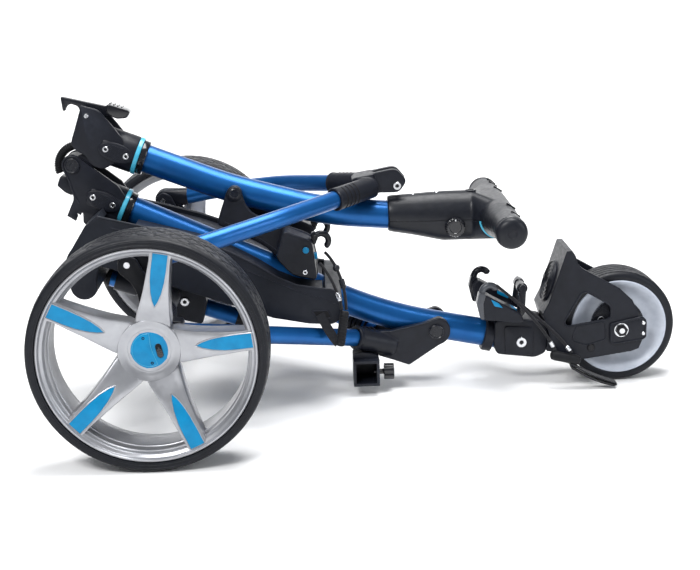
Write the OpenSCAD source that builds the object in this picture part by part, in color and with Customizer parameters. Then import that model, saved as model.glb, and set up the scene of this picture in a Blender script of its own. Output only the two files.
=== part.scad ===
// Folding three-wheel push cart for a golf bag, in its folded, standing pose.
// +X runs from the hinge end to the front wheel, +Y across the cart, +Z up.
// The origin is on the floor, under the middle of the whole cart.
// Every module is drawn about the rear axle line and place() moves it.

/* [Wheels] */
// Outside diameter of each rear tyre
rear_d = 305; // [303:0.5:306]
// Width of each rear tyre
rear_w = 75; // [70:1:76]
// Distance between the middle planes of the rear wheels
track = 585; // [584:1:590]
// Outside diameter of the front tyre
front_d = 166; // [164:0.5:167]
// Width of the front tyre
front_w = 60; // [54:1:61]
// Number of spokes in each rear wheel
spokes = 5; // [5:1:6]

/* [Tubes] */
// Outside diameter of the main tube and the handle tube
main_d = 41; // [40:0.5:41]
// Outside diameter of the leg tubes and stay tubes
leg_d = 25; // [22:0.5:25]
// Wall of every tube
wall = 2; // [1.5:0.5:3]

/* [Axles and pins] */
// Radius of the rear axle
axle_r = 6; // [5:0.5:7]
// Radius of the front axle bolt
front_axle_r = 5; // [4:0.5:6]
// Radius of the handle hinge pin
hinge_r = 5; // [4:0.5:5]
// Radius of the leg pivot pin
leg_pin_r = 6; // [5:0.5:6]
// Radius of the stay pivots
stay_pin_r = 4; // [3:0.5:4]
// Radial running clearance in every bearing bore
fit = 0.06; // [0.02:0.01:0.1]

/* [Grip] */
// Half length of the cross bar of the grip
bar_half = 168; // [150:1:170]
// Radius of the cross bar of the grip
bar_r = 22; // [20:0.5:23]

/* [Sockets] */
// Inside width of the square accessory socket
socket_in = 30; // [26:0.5:31]
// Radius of the threaded accessory hole on top of the grip
port_r = 4; // [3:0.5:4]

/* [Hidden] */
$fn = 48;
off_x = 290.25;
rr = rear_d / 2;
fr = front_d / 2;
A = [-128.2, 194.3];     // handle hinge
P = [385.5, -65.7];      // leg pivot on the main tube
B = [-28.5, 98.7];       // stay pivots
F = [655.5, fr - rr];    // front axle
K = [-103, 264];         // latch pivot
S = [415, 89];           // speed knob
N = [333, 149];          // catch pin of the stay bracket
T = [281, -125];         // accessory socket
main_pts = [[-90, 0, 141.4], [160, 0, 25], [300, 0, -46], [532, 0, -94.5]];
main_R = [0, 600, 600, 0];
handle_pts = [[-94, 0, 224.6], [90, 0, 151], [230, 0, 112], [350, 0, 101.6]];
handle_R = [0, 700, 500, 0];
function side(p, s) = [for (q = p) [q[0], q[1] * s, q[2]]];
leg_pts = [[300, 22, -77.2], [24, 208.1, -2.9]];
stay_pts = [[-6, 221.8, 97.7], [60, 205, 112], [165, 140, 131], [285, 27, 147]];
stay_R = [0, 260, 260, 0];
spur_pts = [[-92, 0, 24.65], [96, 0, -43.8]];
main_u = [cos(-24.97), sin(-24.97)];
handle_u = [cos(-21.8), sin(-21.8)];

// ---------- helpers ----------
module place() translate([-off_x, 0, rr]) children();
function unit(v) = v / norm(v);
// straight round bar from a to b
module seg(a, b, r) {
  d = b - a;
  translate(a) rotate([0, acos(d[2] / norm(d)), atan2(d[1], d[0])]) cylinder(r = r, h = norm(d));
}
// points of a bend of radius R at p, between a and b
function bend(a, p, b, R, k = 3) = R == 0 ? [p] : let (u = unit(a - p), v = unit(b - p), th = 180 - acos(u * v),
  c = p + unit(u + v) * R / cos(th / 2), ex = unit(p + u * R * tan(th / 2) - c), ey = -u)
  [for (i = [0 : k]) c + R * (cos(th * i / k) * ex + sin(th * i / k) * ey)];
function bent(p, R) = concat([p[0]], [for (i = [1 : 1 : len(p) - 2]) each bend(p[i - 1], p[i], p[i + 1], R[i])], [p[len(p) - 1]]);
// round bar along points, each inner point bent to its own radius
module path(p, R, r) {
  q = bent(p, R);
  for (i = [0 : len(q) - 2]) seg(q[i], q[i + 1], r);
  if (len(q) > 2) for (i = [1 : len(q) - 2]) translate(q[i]) sphere(r = r + 0.03);
}
// bores up the two straight ends of a bent tube, which stop sa and sb before the bends
module bores(p, sa, sb, r) {
  n = len(p) - 1;
  u = unit(p[1] - p[0]);
  v = unit(p[n - 1] - p[n]);
  seg(p[0] - u, p[1] - u * sa, r);
  seg(p[n] - v, p[n - 1] - v * sb, r);
}
// outline in X and Z, extruded across Y from y0 to y1
module plate(pts, y0, y1) translate([0, y1, 0]) rotate([90, 0, 0]) linear_extrude(y1 - y0) polygon(pts);
// round bar along Y
module ybar(c, y0, y1, r) translate([c[0], y1, c[1]]) rotate([90, 0, 0]) cylinder(r = r, h = y1 - y0);
// both sides of the cart
module both() { children(); mirror([0, 1, 0]) children(); }
// ellipse outline, a along the direction ang
function oval(c, a, b, ang, n = 36) = [for (i = [0 : n - 1]) let (t = 360 * i / n)
  [c[0] + a * cos(t) * cos(ang) - b * sin(t) * sin(ang), c[1] + a * cos(t) * sin(ang) + b * sin(t) * cos(ang)]];
function disc(c, r, a0, a1, n = 10) = [for (i = [0 : n]) let (t = a0 + (a1 - a0) * i / n) c + r * [cos(t), sin(t)]];
// bar along a sloping direction in the X-Z plane
module along(c, u, s0, s1, r) seg([c[0] + u[0] * s0, 0, c[1] + u[1] * s0], [c[0] + u[0] * s1, 0, c[1] + u[1] * s1], r);

LR = [-61.4, 128.1];   // middle of the lower ring, on the main tube
UR = [-37.4, 201.9];   // middle of the upper ring, on the handle tube

// ---------- main frame ----------
module main_tube() color([0.02, 0.36, 0.72]) difference() {
  path(main_pts, main_R, main_d / 2);
  bores(main_pts, 25, 60, main_d / 2 - wall);
  ybar(P, -30, 30, leg_pin_r);
}
module main_solid() path(main_pts, main_R, main_d / 2);
lug_pts = concat(disc(A, 15.2, 35, 205), [[-136, 172], [-130, 150], [-130.5, 144], [-141, 122], [-129, 114],
  [-125.5, 122], [-127, 124], [-124, 127], [-118, 125], [-118.5, 112], [-115, 107.5], [-97, 122], [-85, 112],
  [-60, 118], [-52, 140], [-66, 163]]);
module lower_hinge_bracket() color([0.13, 0.14, 0.17]) difference() {
  union() {
    both() plate(lug_pts, 18, 24);
    along(LR, main_u, -52, -3.2, 27);
    along(LR, main_u, 3.2, 12.5, 25);
    // tongue that enters the upper bracket when the handle is up
    plate([[-136, 150], [-143, 153.5], [-154, 164], [-149, 177], [-140, 176], [-137, 168], [-124, 166], [-115, 150]], -13, 13);
    plate([[-128, 150], [-115, 152], [-105, 128], [-125, 128]], -24, 24);
  }
  main_solid();
  ring_groove(LR, main_u);
  // room for the knuckle of the upper bracket
  ybar(A, -17.8, 17.8, 16.5);
  plate([[-112, 210], [-60, 180], [-66, 166], [-110, 180.5]], -30, 30);
  ybar(A, -40, 40, hinge_r);
}
module knurled_pad(c, ang) both() difference() {
  plate(oval(c, 25, 13.5, ang), 20, 28.6);
  translate([0, 0, 0]) plate(oval(c, 21.5, 10.4, ang), 27.6, 30);
  for (s = [-15, 15]) ybar([c[0] + s * cos(ang), c[1] + s * sin(ang)], 18, 30, 4.4);
}
module lower_pads() color([0.1, 0.11, 0.13]) difference() {
  knurled_pad([-88, 142], -24.97);
  along(LR, main_u, -70, 14, 27);
  both() plate(lug_pts, 10, 24);
}
module ring_groove(c, u) difference() { along(c, u, -3.2, 3.2, 30); along(c, u, -4, 4, 23); }
module lower_ring() color([0.1, 0.68, 0.85]) difference() {
  along(LR, main_u, -3.1, 3.1, 27.4);
  along(LR, main_u, -4, 4, 23.1);
}
module hinge_pin() color([0.12, 0.13, 0.15]) {
  ybar(A, -25.5, 25.5, hinge_r);
  both() difference() {
    ybar(A, 24.1, 27, 10.6);
    ybar(A, 24, 25.5, hinge_r);
    ybar(A, 26.4, 28, 9);
  }
}
// silver socket-head screws: four on the lower pads, two on the front bracket, two on the cradle
module screw(c, y0, y1, r, hr) {
  ybar(c, y0, y1 - 2.4, r * 0.55);
  difference() { ybar(c, y1 - 2.4, y1, r); rotate(0) ybar(c, y1 - 1.5, y1 + 1, hr, $fn = 6); }
}
module frame_screws() color([0.8, 0.8, 0.82]) both() {
  for (s = [-15, 15]) screw([-88 + s * main_u[0], 142 + s * main_u[1]], 27.1, 29.7, 4.2, 1.8);
  screw([511, -87], 32.6, 36, 7.5, 3);
  screw([197, 40], 72.1, 77.4, 3.4, 1.5);
}
house_top = [[-88, 133], [-17, 114.5], [40, 98], [72, 86], [98, 73.5], [128, 57], [157, 38], [185, 25.5], [225, 18.5]];
house_pts = concat(house_top, disc([229, -1], 19, 80, 0, 5), disc([229, -15], 19, 0, -85, 5),
  [[200, -32], [150, -22], [76, 5], [-60, 53], [-90, 62], [-95, 44]], disc([-113, 33], 19, -20, -170, 8),
  disc([-97, 60], 40, -200, -222, 3), [[-106, 119]]);
house_in = [[-84, 124], [-17, 106], [40, 90], [72, 78], [98, 65], [128, 48], [157, 29.5], [185, 17], [222, 11],
  [240, 0], [243, -10], [240, -22], [230, -29], [200, -27], [150, -17], [76, 9.5], [-60, 57.5], [-88, 66.5],
  [-94, 68], [-99, 48], [-103, 26], [-112, 19], [-124, 22], [-130, 34], [-132, 58], [-121, 84], [-103, 114]];
module battery_housing() color([0.16, 0.17, 0.2]) difference() {
  plate(house_pts, -90, 90);
  plate(house_in, -86, 86);
  // open top, closed by the deck
  plate([[-85, 122], [-17, 100], [98, 60], [185, 12], [222, 6], [221.5, 30], [98, 90], [-17, 130], [-85, 150]], -86, 86);
  path(main_pts, main_R, main_d / 2 + 0.6);
  along(LR, main_u, -70, 14, 28);
  both() plate(lug_pts, 17.5, 24.6);
  both() plate(oval([-88, 142], 26, 14.5, -24.97), 17.5, 29.4);
  plate([[-160, 150], [-95, 150], [-80, 100], [-100, 95], [-145, 120]], -25, 25);
  // shallow slot near the end of the near wall
  plate([[205, -13], [228, -13], [232, -24], [212, -26]], -91, -88);
}
module battery_deck() color([0.16, 0.17, 0.2]) difference() {
  union() {
    plate([[-40, 113], [-17, 107], [40, 91], [72, 79], [98, 66.5], [128, 50], [157, 31], [185, 18.5], [221, 12],
      [221, 8.6], [184, 15], [156, 27], [127, 46], [97, 62.5], [71, 75], [39, 87], [-17, 103], [-40, 109]], -85.9, 85.9);
    plate([[-14, 103], [-7, 101], [-7, 66], [-14, 68]], -34, 34);
    plate([[150, 33], [157, 29], [157, -8], [150, -4]], -34, 34);
  }
  main_solid();
}
module battery_pack() color([0.2, 0.2, 0.22])
  translate([3, 0, 48.6]) rotate([0, 18.6, 0]) cube([130, 120, 20], center = true);
cheek_pts = concat(disc([100, 149], 11, -5, 160), [[81, 125], [75, 103], [94, 97], [112, 86], [136, 73], [160, 52], [178, 34],
  [214, 25], [209, 66], [208, 84], [168, 101.5], [147, 111], [130, 117], [118, 130]]);
wing_pts = [[158, 60], [168, 101], [208, 84], [211, 60], [214, 25], [178, 34]];
module upper_cradle() color([0.12, 0.13, 0.16]) difference() {
  union() {
    both() plate(cheek_pts, 31, 37);
    both() plate(wing_pts, 36, 75);
    plate([[150, 58], [152, 66], [178, 62], [211, 52], [214, 25], [178, 34]], -32, 32);
    // round pads that the folded handle tube lies between
    both() ybar([100, 149], 22.5, 31, 10.4);
  }
  main_solid();
  both() ybar([197, 40], 72, 80, 3.5);
}
module clip(c, y, a0, a1, R, r) translate([c[0], y, c[1]]) rotate([90, 0, 0]) rotate(a0)
  rotate_extrude(angle = a1) translate([R, 0]) circle(r = r, $fn = 24);
module upper_cradle_clips() color([0.14, 0.15, 0.18]) both() {
  difference() {
    union() {
      clip([221, 79], 48, -60, 215, 10.5, 4.5);
      plate([[206, 90], [212, 93], [216, 88], [214, 76], [209.5, 74]], 43.5, 52.5);
    }
    plate(wing_pts, 30, 75);
  }
}
module cradle_inserts() color([0.1, 0.68, 0.85]) {
  both() translate([211.5, 60, 60]) rotate([0, 90, 0]) cylinder(r = 5, h = 4.6);
  both() plate([[484.4, -26.8], [500.8, -35.4], [500.4, -37.4], [484.4, -29.8]], 31, 47);
}
bracket_axis = [cos(-11.8), sin(-11.8)];
module front_bracket() color([0.13, 0.14, 0.17]) difference() {
  union() {
    plate([[472, -54], [505, -52], [545, -58], [552, -72], [548, -106], [532, -113], [476, -106], [471, -96]], -30, 30);
    both() plate([[486, -62], [530, -66], [528, -108], [488, -106]], 30, 32.5);
  }
  main_solid();
  both() ybar([511, -87], 25, 34, 4.3);
}
module front_cradle() color([0.12, 0.13, 0.16]) difference() {
  union() {
    plate([[456, -52], [462, -36], [500, -44], [512, -51.5], [505, -51.5], [472, -53.5]], -33, 33);
    both() hull() {
      plate([[452, -44], [446, -18], [455, -7], [474, -18], [507, -37], [512, -50], [500, -51]], 33, 52);
      plate([[455, -42], [449, -20], [456, -10], [474, -21], [504, -38], [508, -48], [500, -49]], 52, 58);
    }
  }
  both() plate([[484, -22], [502, -31], [501, -38], [484, -30]], 30.9, 47.1);
  main_solid();
}
module front_cradle_clips() color([0.3, 0.31, 0.34]) {
  both() difference() {
    union() {
      clip([462, -6], 50, 20, 200, 11, 5);
      plate([[446, -4], [443, -20], [449, -42], [453, -44], [452, -20], [455, -7]], 43, 57);
    }
    both() hull() {
      plate([[451.8, -44.2], [445.8, -18], [455, -6.8], [474, -17.8], [507, -37], [512, -50], [500, -51]], 33, 52);
      plate([[454.8, -42], [448.8, -20], [456, -9.8], [474, -20.8], [504, -38], [508, -48], [500, -49]], 52, 58.2);
    }
  }
  // roller that spreads the elastic cords
  ybar([514, -9], -22, 22, 8);
  both() plate([[505, -43.5], [509, -5], [514, -1], [519, -5], [517, -45], [511.6, -50.4]], 22.1, 28);
}
fork_pts = [[575, 50], [583, 50.5], [588, 43], [591, 31], [598, 23.5], [653, -8], [672, -26], [681, -45], [688, -88],
  [683, -100], [672, -104], [601, -114], [583, -120], [566, -108], [556, -92], [545, -56], [541, -43], [549.7, -26]];
boss_c = [558.6, 0, -4.2];
module fork() color([0.13, 0.14, 0.17]) difference() {
  union() {
    both() plate(fork_pts, 36, 43);
    // nose between the two plates, with a round raised boss on its face
    plate([[575, 50], [583, 50.5], [588, 43], [580, 8], [570, -38], [564, -88], [566, -106], [556, -92], [545, -56], [541, -43],
      [549.7, -26]], -36, 36);
    translate(boss_c) rotate([0, -71.6, 0]) cylinder(r1 = 33, r2 = 31, h = 4, $fn = 64);
    plate([[548.5, -66], [568, -66], [572, -98], [583, -119], [566, -107], [552, -104], [549, -104]], -30, 30);
  }
  both() linear_window();
  ybar(F, -60, 60, front_axle_r);
  plate([[472, -54], [505, -52], [545, -58], [552.2, -72], [548.2, -106], [532, -113.2], [476, -106], [471, -96]], -30.2, 30.2);
  for (r = [[29, 26.5], [22, 19.5], [15, 12.5]]) translate(boss_c) rotate([0, -71.6, 0]) translate([0, 0, 3.2])
    difference() { cylinder(r = r[0], h = 2); cylinder(r = r[1], h = 2); }
}
module linear_window() plate([[597, -13], [604, -11], [636, -30], [641, -36], [641, -51], [636, -54], [578, -63], [573, -60], [573, -54]], 35, 44);
adj_pts = [[639, -60], [686, -50], [693, -56], [693, -82], [688, -86], [643, -92], [639, -88]];
module axle_adjusters() color([0.13, 0.14, 0.17]) both() difference() {
  plate(adj_pts, 43.1, 47.5);
  ybar(F, 40, 60, front_axle_r);
  for (z = [-60, -76]) ybar([688, z], 45, 50, 2.4);
}
module front_axle() color([0.75, 0.76, 0.78]) {
  ybar(F, -49.5, 49.5, front_axle_r - 0.0);
  both() difference() { ybar(F, 47.6, 53, 9, $fn = 6); ybar(F, 47, 49.5, front_axle_r); ybar(F, 51, 54, 3.4, $fn = 6); }
  both() for (z = [-60, -76]) ybar([688, z], 45.1, 49, 2.3);
}
module leg_pin() color([0.12, 0.13, 0.15]) {
  ybar(P, -36, 36, leg_pin_r);
  both() difference() { ybar(P, 36.1, 39, 10.5); ybar(P, 38.4, 40, 9); }
  both() ybar(P, 35.9, 36.2, leg_pin_r - 1);
}
module cable_conduit() color([0.1, 0.1, 0.12]) translate([-121.75, 0, 190]) rotate([90, 0, 0]) rotate(82)
  rotate_extrude(angle = 116) translate([30, 0]) circle(r = 6.25, $fn = 24);
// swept cord: one polyhedron through hand-set points
function tang(p, i) = unit(p[min(i + 1, len(p) - 1)] - p[max(i - 1, 0)]);
function ring(p, i, r, n) = let (t = tang(p, i), a = unit(cross(t, abs(t[1]) < 0.8 ? [0, 1, 0] : [1, 0, 0])), b = cross(t, a))
  [for (k = [0 : n - 1]) p[i] + r * (a * cos(360 * k / n) + b * sin(360 * k / n))];
module sweep(p, r, n = 8) {
  m = len(p);
  polyhedron([for (i = [0 : m - 1]) each ring(p, i, r, n)],
    concat([[for (k = [0 : n - 1]) k]], [[for (k = [0 : n - 1]) (m - 1) * n + n - 1 - k]],
      [for (i = [0 : m - 2]) for (k = [0 : n - 1]) [i * n + k, (i + 1) * n + k, (i + 1) * n + (k + 1) % n, i * n + (k + 1) % n]]));
}
function bez(a, b, c, d, t) = a * pow(1 - t, 3) + b * 3 * t * pow(1 - t, 2) + c * 3 * t * t * (1 - t) + d * pow(t, 3);
function curve(a, b, c, d, n = 14) = [for (i = [0 : n]) bez(a, b, c, d, i / n)];
rear_cord_a = curve([226, -58, 64], [243, -74, 50], [254, -88, 20], [253, -94.5, -12]);
rear_cord_b = curve([218, -74, 52], [232, -92, 40], [244, -101, 12], [247, -101, -9.5]);
module rear_bungee_cords() color([0.1, 0.1, 0.12]) { sweep(rear_cord_a, 2.2); sweep(rear_cord_b, 2.2); }
module rear_bungee_handle() color([0.12, 0.12, 0.14]) seg([251, -98, -12.5], [243, -106, -62], 6.6);
front_cord_a = curve([470, -62, 8], [500, -66, -16], [535, -66, -50], [556, -62, -92]);
front_cord_b = curve([494, -50, -14], [520, -56, -34], [560, -62, -66], [580, -62, -97]);
module front_bungee_cords() color([0.1, 0.1, 0.12]) { sweep(front_cord_a, 2.2); sweep(front_cord_b, 2.2); }
module front_bungee_handle() color([0.12, 0.12, 0.14]) hull() {
  translate([556, -62, -100.5]) sphere(r = 7.6, $fn = 24);
  translate([586, -62, -108]) sphere(r = 7.6, $fn = 24);
}
module pull_tab() color([0.16, 0.16, 0.18]) plate([[574, -113.5], [588, -117], [604, -131], [646, -146], [637, -151], [596, -137], [582, -124]], -66, -50);

// ---------- front wheel ----------
module front_rim() color([0.66, 0.72, 0.8]) difference() {
  translate([F[0], 0, F[1]]) rotate([90, 0, 0]) rotate_extrude($fn = 96) polygon([[front_axle_r + fit, -34], [13, -34], [14, -27], [30, -20],
    [44, -16], [58, -22], [66, -29], [70, -30], [70, 30], [66, 29], [58, 22], [44, 16], [30, 20], [14, 27], [13, 34], [front_axle_r + fit, 34]]);
  for (k = [0 : 4]) ybar(F + 25 * [cos(72 * k + 20), sin(72 * k + 20)], -60, 60, 7.5);
}
module front_tyre() color([0.1, 0.1, 0.12]) translate([F[0], 0, F[1]]) rotate([90, 0, 0]) rotate_extrude($fn = 96)
  polygon([[70.05, -29], [76, -30], [80.5, -28], [fr - 0.4, -22], [fr - 2, -20], [fr - 0.2, -18], [fr, -9], [fr - 2, -7.5], [fr, -6],
    [fr, 6], [fr - 2, 7.5], [fr, 9], [fr - 0.2, 18], [fr - 2, 20], [fr - 0.4, 22], [80.5, 28], [76, 30], [70.05, 29]]);

// ---------- handle ----------
module handle_tube() color([0.02, 0.36, 0.72]) difference() {
  path(handle_pts, handle_R, main_d / 2);
  bores(handle_pts, 45, 55, main_d / 2 - wall);
}
module handle_solid() path(handle_pts, handle_R, main_d / 2);
upper_pts = [[-111, 279], [-86, 272], [-66, 246], [-52, 226], [-62, 198], [-85, 187], [-101, 194], [-109, 209], [-121, 214], [-128, 226], [-111.5, 273]];
module upper_hinge_bracket() color([0.13, 0.14, 0.17]) difference() {
  union() {
    both() plate(upper_pts, 18, 25);
    along(UR, handle_u, -56, -3.2, 27);
    along(UR, handle_u, 3.2, 12.5, 25);
    // knuckle on the hinge pin
    ybar(A, -17, 17, 14);
    plate([[-122, 206.5], [-88, 218], [-86, 194], [-104, 187], [-119, 184]], -17, 17);
    plate([[-95, 250], [-88, 253], [-64, 232], [-70, 226], [-95, 240]], -19, 19);
  }
  handle_solid();
  ring_groove(UR, handle_u);
  ybar(A, -40, 40, hinge_r + fit);
  ybar(K, -40, 40, 2.5);
  // keeps clear of the fork of the lower bracket
  both() plate(concat(disc(A, 16.4, 40, 205), [[-140, 160], [-60, 160], [-66, 170], [-113, 205]]), 17.6, 40);
}
module upper_pads() color([0.1, 0.11, 0.13]) difference() {
  knurled_pad([-65, 211], -21.8);
  along(UR, handle_u, -60, 14, 27);
  both() plate(upper_pts, 10, 25);
}
module upper_ring() color([0.1, 0.68, 0.85]) difference() {
  along(UR, handle_u, -3.1, 3.1, 27.4);
  along(UR, handle_u, -4, 4, 23.1);
}
// grip body: stacked rings of an oval section, joined to a round cross bar
module grip_ring(x, z, a, b) translate([x, 0, z]) rotate([0, 90, 0]) linear_extrude(0.5) polygon(oval([0, 0], b, a, 0, 28));
module grip_solid() {
  hull() { grip_ring(319, 106, 25.5, 25.5); grip_ring(352, 104, 27, 30); }
  hull() { grip_ring(352, 104, 27, 30); grip_ring(400, 100, 29, 37); grip_ring(440, 100, 29, 37); }
  hull() { grip_ring(440, 100, 29, 37); translate([476, -44, 99]) rotate([-90, 0, 0]) cylinder(r = 27, h = 88, $fn = 32); }
  hull() { translate([476, -60, 102]) rotate([-90, 0, 0]) cylinder(r = 26.5, h = 120, $fn = 32);
    translate([477, -110, 104.5]) rotate([-90, 0, 0]) cylinder(r = bar_r - 1, h = 220, $fn = 32); }
  translate([478, -bar_half + 16, 105]) rotate([-90, 0, 0]) cylinder(r = bar_r - 0.4, h = 2 * bar_half - 32);
}
module grip_cut() {
  seg([290, 0, 106.8], [350, 0, 101.6], main_d / 2);
  ybar(S, -40, -20, 15.4);
  ybar([478, 105], -bar_half - 1, -bar_half + 18, bar_r + 2);
  ybar([478, 105], bar_half - 18, bar_half + 1, bar_r + 2);
  // hollow for the control unit
  plate([[352, 88], [352, 116], [380, 122], [450, 120], [470, 108], [470, 90], [450, 82], [380, 80]], -13, 13);
}
module grip_upper_shell() color([0.13, 0.14, 0.17]) difference() {
  intersection() { grip_solid(); translate([300, -200, 98.05]) cube([300, 400, 80]); }
  grip_cut();
  for (x = [357, 391]) translate([x, 0, 120]) cylinder(r = 4.5, h = 40);
  translate([441, 0, 112]) cylinder(r = port_r, h = 40);
}
module grip_lower_shell() color([0.11, 0.12, 0.15]) difference() {
  intersection() { grip_solid(); translate([300, -200, 18]) cube([300, 400, 79.95]); }
  grip_cut();
}
module bar_end_caps() color([0.1, 0.11, 0.13]) both() translate([478, bar_half - 18.1 + 0.2, 105]) rotate([-90, 0, 0])
  rotate_extrude($fn = 48) polygon([[0, 0], [bar_r, 0], [bar_r, 8], [bar_r - 1.5, 13], [bar_r - 6, 16.5], [bar_r - 12, 18], [0, 18]]);
module handle_screws() color([0.8, 0.8, 0.82]) {
  both() for (s = [-15, 15]) screw([-65 + s * handle_u[0], 211 + s * handle_u[1]], 27.1, 29.7, 4.2, 1.8);
  ybar(K, -25.6, 25.6, 2.5);
  for (x = [357, 391]) translate([x, 0, 120.2]) cylinder(r = 4.4, h = x < 370 ? 13 : 16);
}

// ---------- latch, knobs ----------
latch_pts = [[-141, 290], [-139, 269.5], [-135.5, 269.5], [-133, 276], [-127, 279.5], [-117, 275.5], [-112, 259], [-95, 257], [-78, 262],
  [-63, 256.5], [-47, 257], [-42, 266.5], [-48, 271], [-74, 279.5], [-78, 274.5]];
module latch_lever() color([0.1, 0.11, 0.13]) difference() {
  union() {
    plate(latch_pts, -5, 5);
    plate([[-75, 263], [-63, 256.5], [-47, 257], [-42, 266.5], [-48, 271], [-74, 279.5], [-77, 272]], -15, 15);
    ybar(K, -17, 17, 6);
  }
  ybar(K, -30, 30, 2.5 + fit);
}
module speed_knob() color([0.09, 0.1, 0.12]) difference() {
  ybar(S, -37, -20.2, 15.2);
  for (k = [0 : 11]) ybar(S + 16 * [cos(30 * k), sin(30 * k)], -38, -31, 1.6);
  ybar(S, -38, -36, 10);
}

// ---------- legs and axle ----------
cheek_leg = concat([[300, -100], [318, -106], [345, -116]], disc(P, 21, -75, 80, 12), [[366, -53], [318, -63], [300, -62]]);
module leg_tube_solids() both() path(leg_pts, [0, 0], leg_d / 2);
module leg_bracket() color([0.13, 0.14, 0.17]) difference() {
  union() {
    both() plate(cheek_leg, 23, 35.8);
    both() seg([325, 23, -88] , [268, 43.6, -68.7], 17.5);
    plate([[300, -99], [318, -106], [345, -116], [352, -110], [336, -97], [312, -95]], -23, 23);
  }
  leg_tube_solids();
  path(main_pts, main_R, main_d / 2 + 2);
  plate([[250, -20], [250, -80], [300, -86], [330, -92], [372, -100], [430, -100], [430, -20]], -22.6, 22.6);
  ybar(P, -60, 60, leg_pin_r + fit);
}
module leg_tubes() color([0.02, 0.36, 0.72]) both() difference() {
  path(leg_pts, [0, 0], leg_d / 2);
  path(leg_pts, [0, 0], leg_d / 2 - wall);
}
module axle_tube() color([0.5, 0.52, 0.55]) difference() {
  ybar([0, 0], -124, 124, 14);
  ybar([0, 0], -130, 130, axle_r);
}
post_pts = [[-13, 12], [-17, 58], [-24, 74], [-41, 90], [-40, 104], [-28, 112], [-16, 106], [-10, 92], [4, 72], [13, 12]];
module motor_housings() color([0.13, 0.14, 0.17]) both() difference() {
  union() {
    ybar([0, 0], 110, 250, 18);
    // clamp on the end of the leg tube
    plate([[-12, -17], [36, -18], [36, 14], [8, 17], [-12, 16]], 196, 222);
    plate(post_pts, 196, 202);
    plate(post_pts, 240, 246);
  }
  ybar([0, 0], 100, 124.2, 14.1);
  ybar([0, 0], 100, 260, axle_r);
  path(leg_pts, [0, 0], leg_d / 2);
  ybar(B, 190, 250, stay_pin_r);
}
module rear_axle() color([0.75, 0.76, 0.78]) {
  ybar([0, 0], -293.4, 293.4, axle_r);
}
module spur_tube() color([0.02, 0.36, 0.72]) difference() {
  path(spur_pts, [0, 0], leg_d / 2);
  path(spur_pts, [0, 0], leg_d / 2 - wall);
  ybar([0, 0], -130, 130, 14);
}
spur_u = unit([206, -75]);
module spur_fittings() color([0.12, 0.13, 0.15]) {
  // clamp block on the middle of the axle
  difference() {
    union() {
      plate([[-22, 24], [14, 22], [48, 8], [52, -14], [44, -46], [8, -36], [-20, -28]], -26, 26);
    }
    path(spur_pts, [0, 0], leg_d / 2);
    ybar([0, 0], -130, 130, 14);
  }
  difference() {
    seg([-80, 0, 20.3], [-47, 0, 8.3], 15.5);
    path(spur_pts, [0, 0], leg_d / 2);
  }
  seg([96.2, 0, -43.9], [112, 0, -49.6], 12);
}
module accessory_socket() color([0.2, 0.21, 0.23]) difference() {
  union() {
    translate([T[0] - 19, -64, T[1] + 7 - 19]) cube([38, 52, 38]);
    plate([[262, -99.5], [299, -99.5], [299, -96], [290, -92], [276, -90], [262, -92]], -50, -26);
  }
  translate([T[0] - socket_in / 2, -65, T[1] + 7 - socket_in / 2]) cube([socket_in, 51, socket_in]);
  leg_tube_solids();
  both() seg([325, 23, -88] , [268, 43.6, -68.7], 17.6);
  translate([290, -38, T[1] + 2]) rotate([0, 90, 0]) cylinder(r = 4 + fit, h = 20);
}
module thumb_screw() color([0.1, 0.11, 0.13]) {
  translate([292, -38, T[1] + 2]) rotate([0, 90, 0]) cylinder(r = 4, h = 16);
  difference() {
    translate([307, -38, T[1] + 2]) rotate([0, 90, 0]) cylinder(r = 12, h = 15);
    for (k = [0 : 5]) translate([306, -38 + 15 * cos(60 * k), T[1] + 2 + 15 * sin(60 * k)]) rotate([0, 90, 0]) cylinder(r = 5, h = 18);
  }
}

// ---------- stays ----------
module stay_solids() both() path(stay_pts, stay_R, leg_d / 2);
module stay_tubes() color([0.02, 0.36, 0.72]) both() difference() {
  path(stay_pts, stay_R, leg_d / 2);
  bores(stay_pts, 35, 35, leg_d / 2 - wall);
}
stay_tail = [[282, 140], [276, 160], [280, 165], [326, 173.5], [334, 172], [346, 158], [345, 152], [337, 141], [330, 139]];
module stay_bracket() color([0.13, 0.14, 0.17]) difference() {
  union() {
    both() seg([243, 66.5, 141.4], [296, 16.6, 148.5], 16);
    hull() { plate([[272, 136], [268, 160], [300, 168], [306, 139]], -16, 16); plate([[276, 138], [274, 164], [298, 168], [300, 140]], -24, 24); }
    both() plate(stay_tail, 7, 17);
  }
  stay_solids();
  both() ybar(N, 16, 20, 6);
  ybar(N, -20, 20, 3.5);
}
module stay_ends() color([0.12, 0.13, 0.15]) {
  both() difference() {
    hull() { ybar(B, 206, 236, 14); seg([-12, 221, 97.4], [8, 218.3, 100.2], 15); }
    ybar(B, 190, 250, stay_pin_r + fit);
    path(stay_pts, stay_R, leg_d / 2);
  }
  // catch pin and its screw heads
  ybar(N, -16, 16, 3.5);
  both() difference() { ybar(N, 16.05, 18.5, 5.8); ybar(N, 17.4, 19, 2.5, $fn = 6); }
}
module stay_pivots() both() ybar(B, 194, 247.5, stay_pin_r);

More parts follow.
